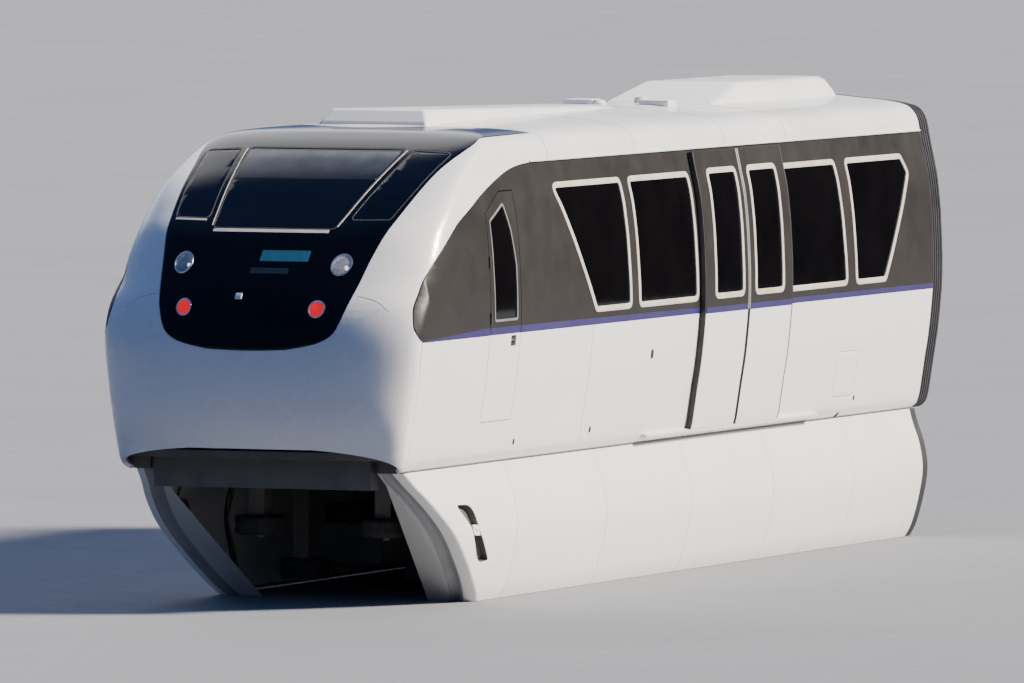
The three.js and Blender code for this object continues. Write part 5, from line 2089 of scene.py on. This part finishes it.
@dataclass
class Bench:
    """A bench along the side wall with separate cushions.

    Attributes:
        end: The end of the saloon where it stands.
        side: The side of the car.
        start: The station of its front end.
        stop: The station of its rear end.
        places: How many cushions it has.
    """

    end: End
    side: Side
    start: float
    stop: float
    places: int

    def board(self, y0: float, y1: float, z0: float, z1: float) -> Mesh:
        """A board along the bench, given by distances from the centre line and heights."""
        sign = self.side.value
        return block((station_x(self.stop), sign * y0, z0), (station_x(self.start), sign * y1, z1), 0.008)

    def build(self) -> None:
        """Builds the base, the cushions and the backs."""
        node = f"seats_{self.end.value}"
        tail = f"{self.end.value}_{self.side.label}"
        base = [
            self.board(0.760, 1.150, 0.362, 0.690),
            self.board(0.700, 1.150, 0.690, 0.735),
            self.board(1.100, 1.150, 0.735, 1.250),
        ]
        fixed(f"bench_base_{tail}", "seat_fabric", LINING, node).add(merged(base))
        pitch = (self.stop - self.start) / self.places
        seats, backs = [], []
        sign = self.side.value
        up, inwards = Vector((0, 0, 1)), Vector((0, -sign, 0))
        for k in range(self.places):
            front = station_x(self.start + k * pitch + 0.006)
            rear = station_x(self.start + (k + 1) * pitch - 0.006)
            seed = 31 * k + round(self.start)
            seats.append(cushion((rear, sign * 0.690, 0.735), (front, sign * 1.060, 0.795), up, 0.015, seed))
            low, high = (rear, sign * 1.058, 0.830), (front, sign * 1.100, 1.245)
            backs.append(cushion(low, high, inwards, 0.012, seed + 7))
        for name, parts in (("seat_cushions", seats), ("back_cushions", backs)):
            made = fixed(f"{name}_{tail}", "seat_fabric", SEAT_CLOTH, node).add(merged(parts))


@dataclass
class DriverSeat:
    """The driver's seat behind the desk.

    Attributes:
        station: The station of its pedestal.
        y: Its distance to the left of the centre line.
    """

    station: float = 1.720
    y: float = 0.0

    def build(self) -> None:
        """Builds the pedestal and the cushions."""
        x = station_x(self.station)
        profile = [
            (0.0001, 0.362), (0.230, 0.362), (0.225, 0.378), (0.055, 0.395), (0.045, 0.640), (0.150, 0.690),
            (0.150, 0.705), (0.0001, 0.705),
        ]
        pedestal = turned(profile, Vector((0, 0, 1)), Vector((x, self.y, 0)), 32)
        fixed("driver_pedestal", "frame_black", FRAME_PAINT, "control_desk").add(pedestal)
        cushions = (
            ("driver_cushion", (-0.24, -0.24, 0.700), (0.24, 0.24, 0.775), Vector((0, 0, 1)), 3),
            ("driver_back", (-0.27, -0.23, 0.830), (-0.185, 0.23, 1.340), Vector((1, 0, 0)), 4),
        )
        for name, low, high, free, seed in cushions:
            shift = Vector((x, self.y, 0))
            made = cushion(Vector(low) + shift, Vector(high) + shift, free, 0.015, seed)
            seat = fixed(name, "seat_fabric", SEAT_CLOTH, "control_desk").add(made)


# Running gear


@dataclass
class LoadTyre:
    """The tyre of a load wheel, with grooves round its tread.

    Attributes:
        end: The end of the car where it runs.
        station: The station of its axle.
        z: The height of its axle.
        radius: The radius of the tread.
        rim: The radius of the rim.
        half_width: Half its width.
    """

    end: End
    station: float
    z: float = 0.500
    radius: float = 0.4995
    rim: float = 0.2905
    half_width: float = 0.190

    def build(self) -> None:
        """Builds the tyre by spinning its section."""
        outer, inner, half = self.radius, self.rim, self.half_width
        tread: Outline = []
        for k in range(-4, 5):
            centre = k * 0.036
            crown = outer - 0.004 * abs(k / 4) ** 2
            if k % 2:
                groove = ((0.0, -0.012), (0.012, -0.005), (0.012, 0.005), (0.0, 0.012))
                tread += [(crown - depth, centre + along) for depth, along in groove]
            else:
                tread += [(crown, centre - 0.010), (crown, centre + 0.010)]
        section = [
            (inner, -half + 0.045), (inner, half - 0.045), (inner + 0.030, half - 0.018),
            (inner + 0.090, half), (outer - 0.060, half - 0.002), (outer - 0.020, half - 0.018),
            *reversed(tread), (outer - 0.020, -half + 0.018), (outer - 0.060, -half + 0.002),
            (inner + 0.090, -half), (inner + 0.030, -half + 0.018),
        ]
        tyre = turned(section, Vector((0, 1, 0)), Vector((station_x(self.station), 0, self.z)), 96)
        name = self.end.value
        node, body = f"load_tyre_{name}", f"load_wheel_{name}"
        Piece(f"tread_tyre_{name}", body, "tyre_rubber", TYRE_RUBBER, (node,)).add(tyre, sharp=45)


class WheelKind(Enum):
    """The side wheels: their names, how far behind the load axle they stand, and their heights."""

    GUIDE_FORE = ("guide_wheel_fore", -0.850, -0.280)
    GUIDE_AFT = ("guide_wheel_aft", 0.850, -0.280)
    STABILISER = ("stabiliser_wheel", 0.000, -0.660)


@dataclass
class SideWheel:
    """A guide or stabiliser wheel that lies flat against the side of the beam.

    Attributes:
        kind: Which of its bogie's wheels it is.
        end: The end of the car where its bogie is.
        side: The side of the car.
        axle: The station of the bogie's load axle.
        y: The distance of its axis from the centre line.
        radius: The radius of its tread.
        half_width: Half its width.
    """

    kind: WheelKind
    end: End
    side: Side
    axle: float
    y: float = 0.530
    radius: float = 0.1995
    half_width: float = 0.070

    def build(self) -> None:
        """Builds the tyre and the hub by spinning their sections."""
        name, behind, z = self.kind.value
        tail = f"{self.end.value}_{self.side.label}"
        node, body = f"{name}_{tail}", f"{name}_body_{tail}"
        centre = Vector((station_x(self.axle + behind), self.side.value * self.y, z))
        outer, half = self.radius, self.half_width
        section = [
            (0.122, -half + 0.012), (0.122, half - 0.012), (0.140, half), (outer - 0.022, half),
            (outer - 0.005, half - 0.012), (outer, half - 0.030), (outer - 0.006, 0.008),
            (outer - 0.006, -0.008), (outer, -half + 0.030), (outer - 0.005, -half + 0.012),
            (outer - 0.022, -half), (0.140, -half),
        ]
        tyre = turned(section, Vector((0, 0, 1)), centre, 64)
        Piece(f"{node}_tyre", body, "tyre_rubber", TYRE_RUBBER, (node,)).add(tyre, sharp=45)
        hub = [
            (0.045, -half + 0.006), (0.060, -half), (0.075, -half), (0.082, -half + 0.030),
            (0.108, -half + 0.026), (0.1215, -half + 0.014), (0.1215, half - 0.014), (0.108, half - 0.026),
            (0.082, half - 0.030), (0.075, half), (0.060, half), (0.045, half - 0.006),
        ]
        made = turned(hub, Vector((0, 0, 1)), centre, 48)
        Piece(f"{node}_hub", body, "bogie_steel", BOGIE_PAINT, (node,)).add(made)


# The whole picture


# The finish of each material slot on the nodes that stay.
KEPT_FINISHES = {
    "body_white": BODY_PAINT, "door_white": BODY_PAINT, "skirt_white": SKIRT_PAINT,
    "roof_white": ROOF_PAINT, "band_black": BAND_GLOSS, "mask_black": MASK_GLOSS,
    "side_glass": SIDE_GLASS, "windshield": FRONT_GLASS, "lamp": LENS, "seal_rubber": SEAL_BLACK,
    "frame_black": FRAME_PAINT, "equipment_grey": EQUIPMENT_PAINT, "bulkhead_grey": BULKHEAD_PAINT,
    "interior_panel": LINING, "desk_dark": DESK_PLASTIC, "seat_fabric": SEAT_CLOTH,
    "rail_steel": RAIL_STEEL, "bogie_steel": BOGIE_PAINT, "axle_steel": AXLE_STEEL,
    "tyre_rubber": TYRE_RUBBER,
}


@dataclass
class Studio:
    """The camera, the lights, the sky and the floor.

    Attributes:
        camera: Where the camera stands.
        aim: The point that the camera looks at.
        lens: Its focal length in millimetres.
        floor: The height of the floor.
    """

    camera: tuple[float, float, float] = (103.932, 43.823, 6.172)
    aim: tuple[float, float, float] = (0.30, 0.0, 0.98)
    lens: float = 500.0
    floor: float = -0.862

    # The sky's colours above the horizon, by the height of the direction.
    SKY = ((0.030, (0.42, 0.43, 0.45)), (0.080, (0.13, 0.21, 0.42)), (0.300, (0.08, 0.17, 0.44)))
    # A bright patch of sky, with the cosines where it starts and where it is full.
    PATCH = (-0.72, -0.50, 0.48)
    PATCH_EDGE = (0.914, 0.968)
    PATCH_COLOUR = (2.2, 2.2, 2.3)
    # The sun: the direction from the car to it, its strength, its size in degrees and its colour.
    SUN = ((-0.30, 0.78, 0.55), 12.0, 9.0, (1.0, 0.91, 0.79))
    # A dark wall behind the car's left, which the side mirrors, and a dark ground ahead of the nose.
    SIDE_FLAG = ((-40, 3, -0.8), (-40, 34, -0.8), (-40, 34, 17), (-40, 3, 17))
    NOSE_FLAG = ((6.8, -30, -0.8), (60, -30, -0.8), (60, 25, -0.8), (6.8, 25, -0.8))

    def take_view(self) -> None:
        """Makes the camera and points it at the car."""
        data = bpy.data.cameras.new("camera")
        data.lens = self.lens
        data.clip_start = 1.0
        data.clip_end = 2000.0
        made = bpy.data.objects.new("camera", data)
        bpy.context.scene.collection.objects.link(made)
        direction = Vector(self.aim) - Vector(self.camera)
        made.location = self.camera
        made.rotation_euler = direction.to_track_quat("-Z", "Y").to_euler()
        bpy.context.scene.camera = made

    def shine(self) -> None:
        """Makes the sun."""
        toward, strength, angle, colour = self.SUN
        data = bpy.data.lights.new("sun", "SUN")
        data.energy = strength
        data.angle = math.radians(angle)
        data.color = colour
        made = bpy.data.objects.new("sun", data)
        bpy.context.scene.collection.objects.link(made)
        made.rotation_euler = Vector(toward).to_track_quat("Z", "Y").to_euler()

    def sky(self) -> None:
        """Fills the world with a soft gradient, pale at the horizon, and its bright patch."""
        world = bpy.data.worlds.new("sky")
        world.use_nodes = True
        graph = Graph(world.node_tree, "Generated")
        height = graph.node("ShaderNodeSeparateXYZ", {"Vector": graph.coordinates}).outputs["Z"]
        ramp = graph.node("ShaderNodeValToRGB", {"Fac": height})
        low, high = ramp.color_ramp.elements
        low.position, low.color = 0.0, (0.42, 0.42, 0.43, 1)
        high.position, high.color = 1.0, (0.07, 0.15, 0.42, 1)
        for position, colour in self.SKY:
            ramp.color_ramp.elements.new(position).color = (*colour, 1)
        toward, (start, full) = Vector(self.PATCH).normalized(), self.PATCH_EDGE
        inputs = {0: graph.coordinates, 1: toward}
        cosine = graph.node("ShaderNodeVectorMath", inputs, operation="DOT_PRODUCT").outputs["Value"]
        inputs = {"Value": cosine, "From Min": start, "From Max": full}
        share = graph.node("ShaderNodeMapRange", inputs, interpolation_type="SMOOTHSTEP")
        colour = graph.mix(share.outputs["Result"], ramp.outputs["Color"], self.PATCH_COLOUR)
        graph.fill(world.node_tree.nodes["Background"], {"Color": colour, "Strength": 1.0})
        bpy.context.scene.world = world

    @staticmethod
    def one_sided(material: bpy.types.Material) -> bpy.types.Material:
        """Makes a material clear where it is seen from behind.

        Args:
            material: The material.

        Returns:
            The same material.
        """
        tree = material.node_tree
        output, shader = tree.nodes["Material Output"], tree.nodes["Principled BSDF"]
        if output.inputs["Surface"].links[0].from_node == shader:
            behind = tree.nodes.new("ShaderNodeNewGeometry").outputs["Backfacing"]
            clear = tree.nodes.new("ShaderNodeBsdfTransparent").outputs["BSDF"]
            mixed = tree.nodes.new("ShaderNodeMixShader")
            tree.links.new(behind, mixed.inputs["Fac"])
            tree.links.new(shader.outputs["BSDF"], mixed.inputs[1])
            tree.links.new(clear, mixed.inputs[2])
            tree.links.new(mixed.outputs["Shader"], output.inputs["Surface"])
        return material

    @staticmethod
    def staged(name: str, bm: Mesh, material: bpy.types.Material) -> bpy.types.Object:
        """Adds a surface that isn't part of the car.

        Args:
            name: Its name.
            bm: Its mesh, which is freed.
            material: Its material.

        Returns:
            The new object.
        """
        mesh = bpy.data.meshes.new(name)
        bm.to_mesh(mesh)
        bm.free()
        mesh.materials.append(material)
        made = bpy.data.objects.new(name, mesh)
        bpy.context.scene.collection.objects.link(made)
        return made

    def flag(self, name: str, corners: Sequence[Sequence[float]], mirrored_only: bool) -> None:
        """Adds a dark panel out of sight, which only takes light away.

        Args:
            name: Its name.
            corners: Its corners.
            mirrored_only: Whether it shows only in mirroring surfaces, or else only to matt ones.
        """
        bm = bmesh.new()
        bm.faces.new([bm.verts.new(corner) for corner in corners])
        made = self.staged(name, bm, self.one_sided(FLAG_CLOTH.material()))
        made.visible_camera = made.visible_shadow = made.visible_transmission = False
        made.visible_glossy = mirrored_only
        made.visible_diffuse = not mirrored_only

    def ground(self) -> None:
        """Lays a pale floor."""
        bm = bmesh.new()
        bmesh.ops.create_grid(bm, x_segments=2, y_segments=2, size=900)
        bmesh.ops.translate(bm, verts=bm.verts, vec=(0, 0, self.floor))
        self.staged("floor", bm, PALE_FLOOR.material())

    def build(self) -> None:
        """Builds the studio."""
        self.sky()
        self.ground()
        self.shine()
        self.flag("side_flag", self.SIDE_FLAG, True)
        self.flag("nose_flag", self.NOSE_FLAG, False)


def finish_kept_nodes() -> None:
    """Gives each slot of the CAD nodes its finish."""
    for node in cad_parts.values():
        for slot in node.material_slots:
            name = slot.material.name.split(".")[0] if slot.material else ""
            if name in KEPT_FINISHES:
                slot.material = KEPT_FINISHES[name].material()
            else:
                LOG.info("slot %s of %s keeps its material", name, node.name)


def sub_assemblies() -> list:
    """Every sub-assembly of the car, in the order in which it is built.

    Returns:
        Objects with a build method.
    """
    parts: list = [NoseShell(), FrontMask(), Roof(), Bellows(), DriverSeat()]
    for side in Side:
        parts += [
            SideSkin(side),
            SlidingLeaf(side, End.FRONT, 5.930, 6.860, (6.130, 6.750, 1.310, 2.325)),
            SlidingLeaf(side, End.REAR, 6.870, 7.800, (6.980, 7.600, 1.310, 2.325)),
            CrewDoor(side),
            SkirtSide(side),
            Bench(End.FRONT, side, 3.006, 5.698, 6),
            Bench(End.REAR, side, 8.052, 10.975, 6),
        ]
        parts += [Lamp(side, kind, *place) for kind, place in LAMPS.items()]
    for end, axle in ((End.FRONT, 2.350), (End.REAR, 8.950)):
        parts.append(LoadTyre(end, axle))
        parts += [SideWheel(kind, end, side, axle) for side in Side for kind in WheelKind]
    return parts


def main() -> None:
    """Builds the picture of the car."""
    logging.basicConfig(level=logging.INFO, format="%(message)s")
    studio = Studio()
    studio.take_view()
    finish_kept_nodes()
    for part in sub_assemblies():
        LOG.info("building %s", type(part).__name__)
        part.build()
    studio.build()


if __name__ == "__main__":
    main()
